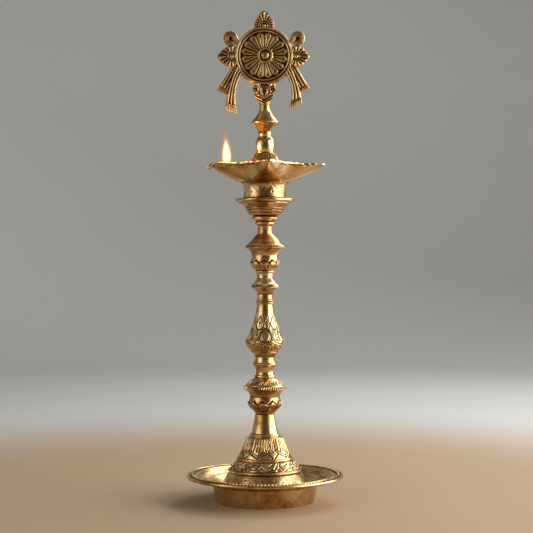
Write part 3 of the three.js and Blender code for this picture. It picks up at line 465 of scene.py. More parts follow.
# Rope twist on the tray's flange: a ring of short slanted strands chased into the metal.
def ring_tree(name, material):
    """Geometry Nodes: a number of like units set evenly round a ring, turned to face outwards."""
    tree = bpy.data.node_groups.new(name, "GeometryNodeTree")
    sizes = {}
    for label, kind in (("Unit", "Object"), ("Count", "Int"), ("Radius", "Float"),
                        ("Height", "Float"), ("First", "Float"), ("Size", "Vector"),
                        ("Lean", "Vector"), ("Stand", "Vector")):
        sizes[label] = tree.interface.new_socket(
            label, in_out="INPUT", socket_type="NodeSocket" + kind).identifier
    tree.interface.new_socket("Geometry", in_out="OUTPUT", socket_type="NodeSocketGeometry")
    given = node(tree, "NodeGroupInput").outputs
    index = node(tree, "GeometryNodeInputIndex").outputs[0]
    part = maths(tree, "DIVIDE", 2 * math.pi, given["Count"])
    angle = maths(tree, "MULTIPLY_ADD", index, part, given["First"])
    back = maths(tree, "MULTIPLY", maths(tree, "COSINE", angle), -1.0)
    ahead = node(tree, "ShaderNodeCombineXYZ", {"X": maths(tree, "SINE", angle), "Y": back})
    away = node(tree, "ShaderNodeVectorMath", {0: ahead.outputs[0], "Scale": given["Radius"]},
                operation="SCALE").outputs[0]
    lift = node(tree, "ShaderNodeCombineXYZ", {"Z": given["Height"]}).outputs[0]
    place = node(tree, "ShaderNodeVectorMath", {0: away, 1: lift}, operation="ADD").outputs[0]
    points = node(tree, "GeometryNodePoints", {"Count": given["Count"], "Position": place})
    about = node(tree, "ShaderNodeCombineXYZ", {"Z": angle}).outputs[0]
    facing = node(tree, "FunctionNodeEulerToRotation", {"Euler": about}).outputs[0]
    lean = node(tree, "FunctionNodeEulerToRotation", {"Euler": given["Lean"]}).outputs[0]
    turn = node(tree, "FunctionNodeRotateRotation", {"Rotation": facing, "Rotate By": lean},
                rotation_space="LOCAL").outputs[0]
    unit = node(tree, "GeometryNodeObjectInfo", {"Object": given["Unit"]}).outputs["Geometry"]
    set_round = node(tree, "GeometryNodeInstanceOnPoints",
                     {"Points": points.outputs[0], "Instance": unit, "Rotation": turn,
                      "Scale": given["Size"]})
    stood = node(tree, "GeometryNodeTransform",
                 {"Geometry": set_round.outputs[0], "Rotation": given["Stand"]})
    real = node(tree, "GeometryNodeRealizeInstances", {"Geometry": stood.outputs[0]})
    painted = node(tree, "GeometryNodeSetMaterial",
                   {"Geometry": real.outputs[0], "Material": material})
    node(tree, "NodeGroupOutput", {"Geometry": painted.outputs[0]})
    return tree, sizes


def settled(maker):
    """The plain mesh that the maker's modifiers end in. The maker itself is thrown away."""
    view = bpy.context.evaluated_depsgraph_get()
    mesh = bpy.data.meshes.new_from_object(maker.evaluated_get(view))
    bpy.data.objects.remove(maker)
    return mesh


def ring_of(name, unit, material, count, radius=0.0, height=0.0, first=0.0, size=(1, 1, 1),
            lean=(0, 0, 0), stand=(0, 0, 0)):
    """A ring of like units as one plain mesh. Lengths in mm, angles in degrees."""
    tree, sizes = ring_tree(name, material)
    holder = linked(name + "_maker", bpy.data.meshes.new(name + "_maker"))
    maker = holder.modifiers.new("ring", "NODES")
    maker.node_group = tree
    for label, value in (("Unit", unit), ("Count", count), ("Radius", radius * MM),
                         ("Height", height * MM), ("First", math.radians(first)),
                         ("Size", size), ("Lean", [math.radians(v) for v in lean]),
                         ("Stand", [math.radians(v) for v in stand])):
        maker[sizes[label]] = value
    mesh = settled(holder)
    mesh.name = name
    mesh.shade_smooth()
    return linked(name, mesh)


def pebble(name, rings=5, sides=8):
    """A round bead of 1 mm radius, to be repeated at any size."""
    points = []
    for i in range(1, rings):
        tilt = math.pi * i / rings - math.pi / 2
        for k in range(sides):
            turn = 2 * math.pi * k / sides
            points.append((math.cos(tilt) * math.cos(turn), math.cos(tilt) * math.sin(turn),
                           math.sin(tilt)))
    points += [(0, 0, -1), (0, 0, 1)]
    mesh = new_mesh(name, np.array(points) * MM, capped_faces(rings - 1, sides))
    # Painted shade: each bead is darker underneath and lighter on top, through the same darkening
    # value.
    patina_and_shade = mesh.attributes.new("patina_and_shade", "FLOAT", "POINT")
    for value, point in zip(patina_and_shade.data, points):
        value.value = min(max(1.15 - 1.1 * point[2], 0.2), 1.0)
    return bpy.data.objects.new(name, mesh)


STRAND_COUNT, STRAND_R = 128, 72.9
bead = pebble("bead")
piece = ring_of("tray_rope", bead, plain_brass, STRAND_COUNT, STRAND_R, 26.1,
                size=(2.6, 1.15, 1.5), lean=(0, 0, 45))
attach(piece, "base")


# Bell: a hollow casting that stands in the tray's well. Turned rings part it into three zones:
# big lotus petals above, a zigzag of crossing double lines, and a plain skirt with punched marks.
BIG_PETAL = [(0, 45.3), (1.8, 46.6), (5.4, 48.5), (9.0, 50.4), (10.3, 53.2), (10.7, 58), (10.0, 64)]
BIG_VEINS = [
    [(-7.9, 53.5), (-7.2, 57), (-7.7, 60), (-7.1, 64)],
    [(-5.8, 50.4), (-4.1, 54), (-3.6, 58), (-4.1, 64)],
    [(-1.5, 51.6), (-0.9, 56)], [(-1.7, 58.4), (-0.9, 64)],
    [(1.1, 52), (1.9, 56), (1.3, 59.5), (2.3, 64)],
    [(3.5, 51.5), (4.4, 55), (3.5, 59.5), (4.5, 64)],
    [(6.9, 52.6), (6.3, 57), (7.0, 64)], [(9.0, 55), (8.5, 58), (8.8, 64)],
]
SMALL_PETAL = [(0, 44.2), (4.5, 49.0), (4.9, 53)]
SMALL_HEART = [(0, 50.8), (1.7, 53), (2.0, 57), (1.5, 61)]


def bell_petals(a, s, z, r):
    at = 21.5  # the petals are drawn flat at this radius
    big = cells(a, at, 5, -17)
    small = cells(a, at, 5, 20)
    inside = leaf_edge(big, z, BIG_PETAL)
    relief = cut(inside, 0.68, 0.7) + cut(inside + 1.9, 0.55, 0.6)
    relief = relief + strokes(big, z, BIG_VEINS, 0.6, 0.65) * (inside < -2.2)
    between = inside > 0.9
    relief += strokes(np.abs(small), z, [SMALL_PETAL], 0.62, 0.6) * between
    relief += strokes(np.abs(small), z, [SMALL_HEART], 0.45, 0.5) * between
    relief += strokes(small, z, [[(0, 53.5), (0.3, 64)], [(-3.2, 52), (-3.0, 58)],
                                 [(3.2, 53), (3.0, 59)]], 0.4, 0.45) * between
    relief += 0.25 * np.clip(-inside / 4, 0, 1)
    return relief * window(z, 44.7, 63.6, 0.4)


ZIGZAG = [
    [(3.1, 40), (0, 36.8), (2.5, 33.2)], [(5.35, 40), (4.6, 37.4), (9.4, 33.0)],
    [(0.9, 36.6), (4.3, 33.4)], [(4.1, 36.8), (0.7, 33.4)],
    [(-9.4, 33.4), (-8.2, 34.0), (-5.1, 35.3), (-1.5, 35.3), (0, 36.6)],
    [(-5.6, 38.5), (-2.5, 40)], [(-7, 33.3), (0, 33.3)], [(-8.6, 38.6), (-6.6, 36.8)],
]


def bell_zigzag(a, s, z, r):
    relief = strokes(cells(a, 31.8, 11, -13.8), z, ZIGZAG, 0.58, 0.6)
    return relief * window(z, 33.0, 40.7, 0.3)


SKIRT_MARKS = ((-47, 25.0, 1.2), (-38, 22.6, 0.8), (-29, 25.6, 1.1), (-20, 23.9, 0.7), (-13, 25.8, 1.0),
               (-3, 24.7, 1.3), (7, 22.0, 0.7), (15, 25.4, 1.0), (26, 23.6, 1.1), (38, 25.7, 0.8),
               (47, 22.7, 1.1), (60, 24.8, 1.0))


def bell_marks(a, s, z, r):
    """Punch marks: angle, height and length of each, three times round."""
    relief = np.zeros(np.broadcast(a, z).shape)
    for angle, height, size in SKIRT_MARKS:
        across = cells(a, r, 3, angle)
        relief += cut(np.hypot(across / size, (z - height) / 0.55), 1.0, 0.5)
    return relief


bell = (
    Outline(43.6, 11.0).line(46.6)
    .through([(39.2, 24.5), (36.3, 29.0)], "skirt").to(35.3, 29.4).to(35.7, 29.8)
    .bead(37.0, 2.5).to(34.8, 32.7).to(35.2, 33.0)
    .through([(31.8, 36.7), (28.6, 40.8)], "zigzag").to(27.4, 41.1).to(27.6, 41.6)
    .bead(28.4, 2.3).to(26.3, 44.3).to(26.4, 44.6)
    .through([(25.5, 46.6), (23.5, 50.4), (22.1, 53.2), (20.2, 58), (18.0, 63.3)], "petals")
    .upright(16.6, 0.7).to(14.7, 64.5).to(14.7, 65.2).bead(15.4, 2.0).to(14.4, 67.3).to(14.4, 67.5)
    .line(4.3).to(4.3, 61.5, "inside").to(16, 61.5, "inside").to(17.6, 55.4, "inside")
    .to(24.2, 45.4, "inside").to(32.6, 32.1, "inside").to(43.6, 11.0, "inside")
)
piece = shown("bell", *turned(bell, 370, {"skirt": bell_marks, "zigzag": bell_zigzag,
                                          "petals": bell_petals}), turned_brass)
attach(piece, "base")
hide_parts("base_bell")


# Tie rod, washer and nut under the tray: a threaded brass rod that pulls the tray, the bell and
# the neck together. They show only from below.
def thread(pitch, depth):
    """A screw thread with rounded crests."""
    def rule(a, s, z, r):
        return -depth * np.abs(2 * ((z / pitch - a / (2 * np.pi)) % 1) - 1)
    return rule


# Its third colour is the one deep in its cuts and hollows: patina there, and painted shade.
fixing_brass = brass("fixing_brass", (0.66, 0.45, 0.19, 1), (0.5, 0.32, 0.12, 1),
                     (0.08, 0.04, 0.015, 1), 0.34, 0.4, 0.3)
rod = (
    Outline(0, 1.2).line(3.4).line(4.0, 0.6).line(4.0, 16, "thread").line(4.0, 57.1)
    .line(3.4, 0.6).line(0)
)
piece = shown("rod", *turned(rod, 48, {"thread": thread(1.5, 0.7)}, 0.1, 0.2), fixing_brass)
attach(piece, "base")
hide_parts("tie_rod")

plate_washer = (
    Outline(4.3, 7.0).line(8.8).line(9.0, 0.2).line(9.0, 1.1).line(8.8, 0.2).line(4.3)
    .line(4.3, -1.5)
)
piece = shown("washer", *turned(plate_washer, 64, soften=0.08, coarse=0.6), fixing_brass)
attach(piece, "base")
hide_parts("tie_washer")

NUT_FLATS, NUT_SIDES = 13.0, 72
nut_outline = [(4.3, 2.0), (4.9, 2.0), (6.2, 2.0), (7.6, 2.7), (7.6, 6.3), (6.2, 7.0), (4.9, 7.0),
               (4.3, 7.0), (4.05, 6.0), (4.3, 5.2), (4.05, 4.4), (4.3, 3.6), (4.05, 2.8)]
nut_points = []
for r, z in nut_outline:
    for k in range(NUT_SIDES):
        a = 2 * math.pi * k / NUT_SIDES
        flat = NUT_FLATS / 2 / math.cos((a + math.pi / 6) % (math.pi / 3) - math.pi / 6)
        nut_points.append((min(r, flat) * math.sin(a), -min(r, flat) * math.cos(a), z))
nut_faces = [[v % len(nut_points) for v in face]
             for face in grid_faces(len(nut_outline) + 1, NUT_SIDES)]
piece = shown("nut", nut_points, nut_faces, fixing_brass, smooth=False)
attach(piece, "base")
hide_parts("tie_nut")


# Neck: a plain brushed cone over the bell, bored for the tie rod below and tapped for the stem's
# spigot above.
neck = (
    Outline(4.3, 67.5).line(13.0).line(13.4, 0.4).line(9.9, 18.4, bow=-0.25).line(9.6, 0.4)
    .line(5.3).line(5.3, -10.6, "thread").line(4.3).line(4.3, -8.6)
)
piece = shown("neck", *turned(neck, 192, {"thread": thread(1.5, 0.4)}, soften=0.15, fine=0.5,
                              coarse=0.9), plain_brass)
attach(piece, "base")
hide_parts("base_neck")


# Leather washers: oiled leather rings that seal the three joints that unscrew. Each rides up with
# the section above it.
leather, tree, place = new_material("washer_leather")
pores = node(tree, "ShaderNodeTexVoronoi", {"Vector": place, "Scale": 1400.0}).outputs["Distance"]
hide = blend(tree, noise(tree, place, 350.0, 4.0), (0.09, 0.045, 0.02, 1), (0.028, 0.014, 0.008, 1))
surface(tree, {"Base Color": hide, "Normal": bumped(tree, pores, 0.5, 0.00015), "Roughness": 0.6})


def washer(name, hole, edge, z):
    """A leather ring, its cut edge a little bulged by the pressure on it."""
    ring = Outline(hole, z).line(edge - 0.25).line(edge, 0.35, bow=0.1).line(edge - 0.25, 0.35)
    return shown(name, *turned(ring.line(hole).line(hole, -0.7), 128, soften=0.1), leather)


piece = washer("stem_seal_ring", 5.3, 9.3, 86.7)
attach(piece, "stem_seal")
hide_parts("stem_washer")
piece = washer("bowl_seal_ring", 8.3, 21.1, 301.9)
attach(piece, "bowl_seal")
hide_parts("bowl_washer")
piece = washer("finial_seal_ring", 4.7, 12.4, 329.8)
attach(piece, "finial_seal")
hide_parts("finial_washer")


# Lower stem: lotus bulb with deep-cut arches, a plain cove, and a disc whose edge is cut like a
# cord and whose sloping top carries a row of leaf strokes. A threaded spigot stands below it.
def arches(a, z, r, count, first, low, spring, apex):
    """A row of pointed arches side by side, with a punched dot in each."""
    across = cells(a, r, count, first)
    half = np.pi * r / count
    share = np.abs(across) / half
    line = (z - apex + (apex - spring) * share) * 0.85
    post = (half - np.abs(across)) + 50 * (z > spring - 0.8) + 50 * (z < low)
    relief = np.minimum(cut(line, 0.85, 0.95), cut(post, 0.7, 0.75))
    relief += 0.35 * np.exp(-((line + 1.35) / 0.45) ** 2)
    relief += 0.35 * (1 - share ** 2) * (line < -1) * (z > low - 0.5)
    dot = np.hypot(across, (z - low - 0.3 * (spring - low)) * 1.1)
    return relief + cut(dot, 0.75, 0.6)


def lotus_bulb(a, s, z, r):
    relief = arches(a, z, r, 10, -8, 91.9, 97.0, 100.7)
    return relief + cut(z - 91.5, 0.45, 0.5) + cut(z - 89.8, 0.4, 0.4)


def cord_cuts(count, slant, depth):
    """Slanting cuts side by side, as on a twisted cord."""
    def rule(a, s, z, r):
        turn = (a * count / (2 * np.pi) + s * slant) % 1 - 0.5
        return cut(turn * 2 * np.pi * r / count, 0.66, depth) * window(s, 0.15, s.max() - 0.1, 0.3)
    return rule


def leaf_strokes(count, slant, low, high):
    """Slanting lens-shaped strokes in pairs."""
    def rule(a, s, z, r):
        across = cells(a - slant * (s - low) / r, r, count, 0)
        reach = (s - (low + high) / 2) / ((high - low) / 2)
        lens = np.sqrt(np.clip(1 - reach ** 2, 0.02, 1))
        pair = cut(across / lens, 0.65, 0.65) + cut((across - 1.7) / lens, 0.55, 0.6)
        return pair * (np.abs(reach) < 1)
    return rule


lower = (
    Outline(0, 77.4).line(4.4).line(5.0, 0.6).line(5.0, 8.4, "thread").line(5.0, 1.0)
    .line(10.0).through([(10.2, 88.2), (12.8, 91.2), (15.7, 94.7), (16.8, 97.4), (15.9, 99.9),
                         (15.2, 102.2)], "lotus")
    .through([(14.9, 104.1), (16.0, 107.5), (17.4, 109.5), (19.7, 111.2)]).to(22.0, 112.2)
    .to(22.3, 112.6, "cord").to(20.4, 114.9, "cord").to(19.3, 115.3).to(19.4, 115.8)
    .through([(16.4, 118.6), (12.2, 122.0)], "leaves").to(11.4, 122.4).to(9.8, 122.8)
    .to(9.8, 123.4).bead(10.5, 2.3).to(9.3, 125.9).line(4.7).line(4.7, -12.6).line(0)
)
piece = shown("lower_stem_turning", *turned(
    lower, 400, {"thread": thread(1.5, 0.45), "lotus": lotus_bulb,
                 "cord": cord_cuts(54, -0.25, 0.95), "leaves": leaf_strokes(20, 0.48, 1.0, 6.6)},
    fine=0.38), turned_brass)
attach(piece, "stem")
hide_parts("lower_stem")


# Middle stem: waist, sharp ring and the long baluster, carved with a row of round petals that
# each hold a raised boss, five ovals with small leaves between them, and five hanging drops.
OVAL = [(0, 158.3), (3.2, 159.7), (5.6, 162.4), (6.4, 165.6), (5.7, 168.8), (3.6, 171.2), (0, 173.4)]
DROP = [(0, 185.0), (2.0, 182), (3.7, 179), (4.2, 176.6), (3.5, 174.0), (1.7, 172.1), (0, 171.5)]
CROSSED = [[(-3.0, 184.6), (2.6, 177.6), (1.8, 173.8), (0, 171.8)]]
SMALL_LEAF = [
    [(-4.4, 161.6), (0, 157.9), (4.4, 161.6)], [(-3.4, 164.4), (-1.6, 160.8)],
    [(0, 160.2), (0.3, 163.8)], [(3.4, 164.4), (1.6, 160.8)], [(-2.6, 172), (-3.4, 166.2)],
    [(-0.7, 173), (-1.7, 166.2)], [(2.4, 172.6), (1.8, 166)], [(0.7, 171), (0.7, 165.4)],
]


def baluster_leaves(a, s, z, r):
    petal = cells(a, r, 10, 17.3)
    half = np.pi * r / 10
    share = np.clip(np.abs(petal) / half, 0, 1)
    relief = cut(half - np.abs(petal) + 50 * (z > 155.8) + 50 * (z < 150.6), 0.55, 0.65)
    relief = relief + cut((z - 154.8 - 2.6 * np.sqrt(1 - share ** 2)) * 0.9, 0.45, 0.5) * (z > 154.6)
    boss = np.hypot(petal, z - 152.9)
    relief += cut(boss - 1.75, 0.4, 0.4) + 0.4 * np.sqrt(np.clip(1 - (boss / 1.4) ** 2, 0, 1))
    oval = leaf_edge(cells(a, 16.6, 5, 1.5), z, OVAL)
    relief += cut(oval, 0.62, 0.75) + cut(oval + 1.6, 0.5, 0.5) + 0.3 * np.clip(-oval / 3, 0, 1)
    side = cells(a, 12.6, 5, -25)
    drop = leaf_edge(side, z, DROP)
    relief += cut(drop, 0.62, 0.7) * (oval > 0.6)
    relief += cut(np.hypot(side, z - 174.7), 0.6, 0.55)
    relief += strokes(side, z, [[(-1.1, 179.4), (0, 177.0), (1.1, 179.4)]], 0.38, 0.35)
    free = (oval > 0.6) & (drop > 0.6)
    column = cells(a, 12, 5, 11)
    relief += strokes(column, z, CROSSED, 0.45, 0.5) * free
    relief += strokes(-column, z, CROSSED, 0.45, 0.5) * free
    relief += strokes(cells(a, 17.6, 5, 37.5), z, SMALL_LEAF, 0.5, 0.5) * free
    return np.maximum(relief, -0.75) * window(z, 150.4, 188, 0.3)


middle = (
    Outline(0, 113.9).line(3.9).line(4.4, 0.6).line(4.4, 11.4).line(9.3)
    .through([(8.8, 128.2), (9.5, 132.3), (10.8, 134.8), (11.5, 135.7)]).to(12.3, 136.1)
    .to(12.5, 136.6).to(12.1, 137.1).through([(11.4, 138.1), (10.7, 139.8), (9.95, 142.3),
                                              (10.05, 144.8), (11.5, 146.8), (13.5, 148.2)])
    .to(13.9, 148.7).to(13.1, 149.1).to(13.9, 149.6).through([(14.6, 150.6), (17.0, 153.7),
                                                              (18.3, 155.6)], "baluster")
    .through([(19.3, 158.2), (19.2, 160.0)], "baluster")
    .through([(14.4, 170.5), (12.8, 175.2), (10.5, 182.3), (9.1, 188.0)], "baluster")
    .through([(8.1, 195.6)]).to(7.8, 196.3).to(8.3, 196.8).bead(9.1, 1.8).to(8.0, 198.8)
    .to(8.3, 199.1).bead(9.1, 1.6).to(8.2, 200.9).line(4.7).line(4.7, -12.6).line(0)
)
piece = shown("middle_stem_turning", *turned(middle, 330, {"baluster": baluster_leaves},
                                             fine=0.36), turned_brass)
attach(piece, "stem")
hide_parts("middle_stem")


# Upper stem: small disc, knop carved like the lotus bulb, large disc and neck. Both discs have a
# corded edge.
def knop_arches(a, s, z, r):
    relief = arches(a, z, r, 10, -4.5, 232.0, 237.4, 240.6)
    return relief * 0.9 * window(z, 231.0, 241.4, 0.3)


def cone_panels(a, s, z, r):
    """Faint upright lines and one ring line on the large disc's sloping top."""
    across = cells(a, r, 16, 6)
    return cut(across, 0.35, 0.16) * window(s, 2.2, 9.5, 1.0) + cut(s - 1.2, 0.35, 0.3)


upper = (
    Outline(0, 188.9).line(3.9).line(4.4, 0.6).line(4.4, 11.4).line(8.0)
    .through([(8.1, 202.6), (8.0, 206.8), (10.2, 210.3), (12.6, 212.2)]).to(13.7, 212.9)
    .to(13.9, 213.5).to(12.3, 216.8, "small_cord").to(11.3, 217.3).to(11.4, 217.8)
    .through([(9.5, 220.1), (8.4, 221.7)]).to(7.9, 222.1).to(8.1, 222.5)
    .through([(8.1, 224.4), (8.4, 227.4)]).to(8.7, 227.8).bead(9.9, 2.2).to(9.2, 230.3)
    .to(10.4, 230.8).through([(11.8, 232.8), (14.3, 235.2), (14.6, 237.0), (14.1, 239),
                              (13.5, 241.4)], "knop")
    .through([(13.2, 245.4), (14.6, 248.9), (17.9, 251.7)]).to(19.7, 252.5).to(19.9, 253.1)
    .to(18.0, 255.6, "big_cord").to(17.0, 256.1).to(17.1, 256.5)
    .through([(14.6, 259.4), (9.6, 264.7), (7.9, 266.5)], "panels")
    .through([(7.3, 270), (7.7, 274.2)]).to(8.6, 275.2).bead(10.5, 3.6).to(8.8, 279.0)
    .line(4.7).line(4.7, -12.6).line(0)
)
piece = shown("upper_stem_turning", *turned(
    upper, 288, {"small_cord": cord_cuts(42, 0.3, 0.8), "knop": knop_arches,
                 "big_cord": cord_cuts(54, 0.28, 0.9), "panels": cone_panels},
    fine=0.4), turned_brass)
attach(piece, "stem")
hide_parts("upper_stem")


# Cup under the bowl: a torus, three turned steps, a plain bell and a flange with a beaded edge.
cup = (
    Outline(0, 267.0).line(3.9).line(4.4, 0.6).line(4.4, 11.4).line(9.0).to(9.9, 279.4)
    .bead(13.8, 5.2).to(12.9, 284.9).to(15.4, 285.2).to(16.8, 287.1).to(15.8, 287.5)
    .to(17.7, 288.0).to(18.7, 290.2).to(17.8, 290.6).to(19.7, 291.0).to(20.5, 292.2)
    .to(19.9, 292.6).to(20.8, 293.0).through([(23.4, 295.2), (26.3, 297.2)])
    .to(26.0, 297.8).to(27.2, 298.1).level(29.5, 2.0).upright(28.2, 1.6)
    .to(27.0, 301.9).line(22.6).line(22.4, -0.2).line(22.2, 0.2).line(8.3)
    .line(8.3, -12.6, "thread").line(0)
)
piece = shown("cup_turning", *turned(cup, 256, {"thread": thread(2.0, 0.45)}, coarse=0.5),
              turned_brass)
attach(piece, "stem")
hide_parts("bowl_cup")

CUP_BEADS = 86
piece = ring_of("cup_beads", bead, turned_brass, CUP_BEADS, 28.4, 301.3, size=(0.85, 0.6, 0.5))
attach(piece, "stem")


# Drum: plain turned drum between cup and bowl, with a zigzag of punched dots and a larger punch
# mark in each triangle. Its spigot is threaded at 2 mm to the turn.
DRUM_LOW, DRUM_HIGH = 305.2, 315.2


def punched_zigzag(a, s, z, r):
    across = cells(a, r, 6, -40)
    half = np.pi * r / 6
    rise = DRUM_HIGH - DRUM_LOW
    share = np.abs(across) / half
    off = (z - DRUM_HIGH + rise * share) * half / np.hypot(half, rise)
    along = (share + (DRUM_HIGH - z) / rise) / 2 * np.hypot(half, rise)
    beat = (along + 1.1) % 2.2 - 1.1
    relief = cut(np.hypot(off, beat), 0.62, 0.5) * window(z, DRUM_LOW - 0.7, DRUM_HIGH + 0.7, 0.3)
    relief += cut(np.hypot(across, z - 308.0), 0.95, 0.6)
    return relief + cut(np.hypot(cells(a, r, 6, -10), z - 312.6), 0.95, 0.6)


drum = (
    Outline(0, 290.6).line(7.4).line(8.0, 0.6).line(8.0, 10.4, "thread").line(8.0, 1.0)
    .line(21.4).line(21.7, 0.4).through([(21.2, 308), (21.4, 313), (22.3, 315.8),
                                         (23.7, 317.2)], "dots").to(23.8, 317.4)
    .line(8.3).line(8.3, -7.6).line(0)
)
piece = shown("drum_turning", *turned(drum, 320, {"thread": thread(2.0, 0.45),
                                                  "dots": punched_zigzag}, fine=0.36),
              turned_brass)
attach(piece, "bowl")
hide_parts("bowl_drum")


# Oil bowl: a casting that grows from the drum's circle into a star of five spouts, each with a
# keel under it, and has a slightly uneven flat lip. A threaded boss for the finial stands inside.
BOWL_Z, SEAT_R, SPOUT_R, VALLEY_R = 317.4, 23.9, 62.0, 40.0
BOWL_H, LIP_H, LIP_OUT, BOWL_FLOOR = 18.6, 2.2, 0.9, 2.6
UNDER_LIP = BOWL_H - LIP_H
SPOUTS, SPOUT_TURN, CAP_STEPS, SIDE_STEPS = 5, 3.8, 5, 60
KEEL_ROOT, KEEL_TIP = 34, 2.2  # half a keel's width: degrees at the seat, mm at the spout's tip
BENT_ANGLE, BENT_FROM, BENT_DROP = -68.2, 57.4, 3.7  # the left spout's tip, knocked down once
NICK_ANGLES, NICK_R = (59.1, 64.8), 47  # of the lip's two nicks


def joined(skins):
    """Several skins, each given as points and faces, as one."""
    points, faces, first = [], [], 0
    for skin_points, skin_faces in skins:
        points.append(skin_points)
        faces += [[v + first for v in face] for face in skin_faces]
        first += len(skin_points)
    return np.concatenate(points), faces


def climbed(height):
    return min(max(height / UNDER_LIP, 0), 1)


def keel_r(height):
    return SEAT_R + (SPOUT_R - LIP_OUT - SEAT_R) * climbed(height) ** 0.85


def valley_r(height):
    return SEAT_R + (VALLEY_R - LIP_OUT - SEAT_R) * climbed(height) ** 0.8


def keel_half(height):
    root = SEAT_R * math.sin(math.radians(KEEL_ROOT))
    return KEEL_TIP + (root - KEEL_TIP) * (1 - climbed(height)) ** 1.1


def star_ring(height, keel, valley, half_width):
    """One level of the bowl, all the way round."""
    star, corner, flank = climbed(height), math.asin(half_width / keel), math.pi / SPOUTS
    half = [(corner * i / CAP_STEPS, keel, 0) for i in range(CAP_STEPS + 1)]
    for i in range(1, SIDE_STEPS + 1):
        share = i / SIDE_STEPS
        angle = corner + (flank - corner) * share
        chord = keel * valley * math.sin(flank - corner) / (
            keel * math.sin(angle - corner) + valley * math.sin(flank - angle))
        bowed = chord - 1.2 * math.sin(math.pi * share)
        r = (keel + (valley - keel) * share) * (1 - star) + bowed * star
        half.append((angle, r, min(max((share - 0.12) / 0.4, 0), 1)))
    spout = [(-angle, r, ease) for angle, r, ease in half[-2:0:-1]] + half
    around = [(math.radians(SPOUT_TURN) + 2 * math.pi * k / SPOUTS + angle, r, ease)
              for k in range(SPOUTS) for angle, r, ease in spout]
    angle, r, ease = np.array(around).T
    ring = np.stack([r * np.sin(angle), -r * np.cos(angle)], 1)
    blunt = 5 + 90 * (1 - star) ** 0.8
    for i in range(260):  # the valleys are rounded widely, the keels less and less upwards
        drawn = (np.roll(ring, 1, 0) + np.roll(ring, -1, 0)) / 2 - ring
        ring = ring + 0.5 * drawn * (ease[:, None] if i > blunt else 1)
    angle, far = np.arctan2(ring[:, 0], -ring[:, 1]), np.hypot(*ring.T)
    level = np.full(len(ring), BOWL_Z + height)
    at_bend = np.abs(angle - math.radians(BENT_ANGLE)) < 0.2
    level -= BENT_DROP * np.clip((far - BENT_FROM) / 1.2, 0, 1) * at_bend
    if height > UNDER_LIP:  # the lip was filed by hand, and is nicked at the right
        level += 0.22 * np.sin(3 * angle + 1) + 0.2 * np.sin(11 * angle) + 0.16 * np.sin(23 * angle)
        ring *= (1 + 0.006 * np.sin(17 * angle + 1) + 0.004 * np.sin(41 * angle))[:, None]
        for nick in NICK_ANGLES:
            pit = np.exp(-((angle - math.radians(nick)) * NICK_R / 1.1) ** 4)
            level -= 0.9 * pit
            ring *= (1 - 0.035 * pit)[:, None]
    return np.column_stack([ring, level])


def outer_ring(height, out=0.0):
    return star_ring(height, keel_r(height) + out, valley_r(height) + out, keel_half(height))


rings = [np.array([0, 0, BOWL_Z]) + outer_ring(0) * [share, share, 0] for share in (0.35, 0.7)]
rings += [outer_ring(UNDER_LIP * (i / 26) ** 1.5) for i in range(27)]
rings += [outer_ring(UNDER_LIP + up, out) for up, out in
          ((0.12, 0.35), (0.3, 0.7), (0.7, LIP_OUT), (1.2, LIP_OUT), (1.7, LIP_OUT - 0.1),
           (2.0, LIP_OUT - 0.3), (2.15, LIP_OUT - 0.6), (2.2, LIP_OUT - 0.95))]
inside = [BOWL_H - 0.15 - (BOWL_H - 0.15 - BOWL_FLOOR) * i / 20 for i in range(21)]
rings += [star_ring(h, keel_r(h - BOWL_FLOOR) - 0.95, valley_r(h) - 2.3, keel_half(h) - 1.7)
          for h in inside]
rings += [rings[-1] * [share, share, 1] for share in (0.85, 0.7, 0.55)]
bowl_points = np.concatenate([*rings, [(0, 0, BOWL_Z), (0, 0, BOWL_Z + BOWL_FLOOR)]])
bowl_faces = capped_faces(len(rings), len(rings[0]))
boss = (
    Outline(0, 310.4).line(7.6).line(8.0, 0.4).line(8.0, 7.9).line(13.0).line(13.0, 10.7)
    .line(12.6, 0.4).line(4.7).line(4.7, -9.6, "thread").line(0)
)
boss_skin = turned(boss, 96, {"thread": thread(1.5, 0.4)}, soften=0.12)
piece = shown("bowl_casting", *joined([(bowl_points, bowl_faces), boss_skin]), plain_brass)
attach(piece, "bowl")
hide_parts("oil_bowl")


# Wick: three strands of cotton rolled into a cord, soaked with oil and charred at the lit end. It
# lies in the back left spout, its tail in the oil.
WICK_R, WICK_STRANDS, WICK_TWIST, WICK_SIDES, WICK_ROUND = 1.4, 3, 7.0, 30, 2.2
wick_tail = np.array([-21.12, 25.35, 325.56])
wick_lit = np.array([-40.84, 49.02, 339.94])
wick_way = wick_lit - wick_tail
wick_length = float(np.linalg.norm(wick_way))
wick_way /= wick_length
wick_side = np.cross(wick_way, (0, 0, 1))
wick_side /= np.linalg.norm(wick_side)
wick_up = np.cross(wick_side, wick_way)
wick_steps = np.linspace(0, wick_length, 120)
wick_points = []
for s in wick_steps:
    near_lit = s - wick_length + WICK_ROUND
    if near_lit > 0:
        taper = math.sqrt(max(1 - (near_lit / WICK_ROUND) ** 2, 0.05))
    else:
        taper = math.sqrt(min(0.3 + s / 1.5, 1))
    for k in range(WICK_SIDES):
        turn = 2 * math.pi * k / WICK_SIDES
        strand = abs(math.cos(WICK_STRANDS / 2 * (turn - 2 * math.pi * s / WICK_TWIST)))
        fibre = 0.02 * math.sin(9 * turn + 11 * s)
        r = WICK_R * taper * (0.8 + 0.18 * strand ** 0.6 + fibre)
        wick_points.append(wick_tail + s * wick_way
                           + r * (math.cos(turn) * wick_side + math.sin(turn) * wick_up))
wick_points += [wick_tail, wick_lit]
wick_faces = capped_faces(len(wick_steps), WICK_SIDES)
cotton, tree, place = new_material("oiled_cotton")
along = node(tree, "ShaderNodeVectorMath", {0: place, 1: tuple(wick_way.tolist())},
             operation="DOT_PRODUCT").outputs["Value"]
lit_at = float(wick_lit @ wick_way) * MM
char = ranged(tree, along, lit_at - 0.0075, lit_at - 0.002)
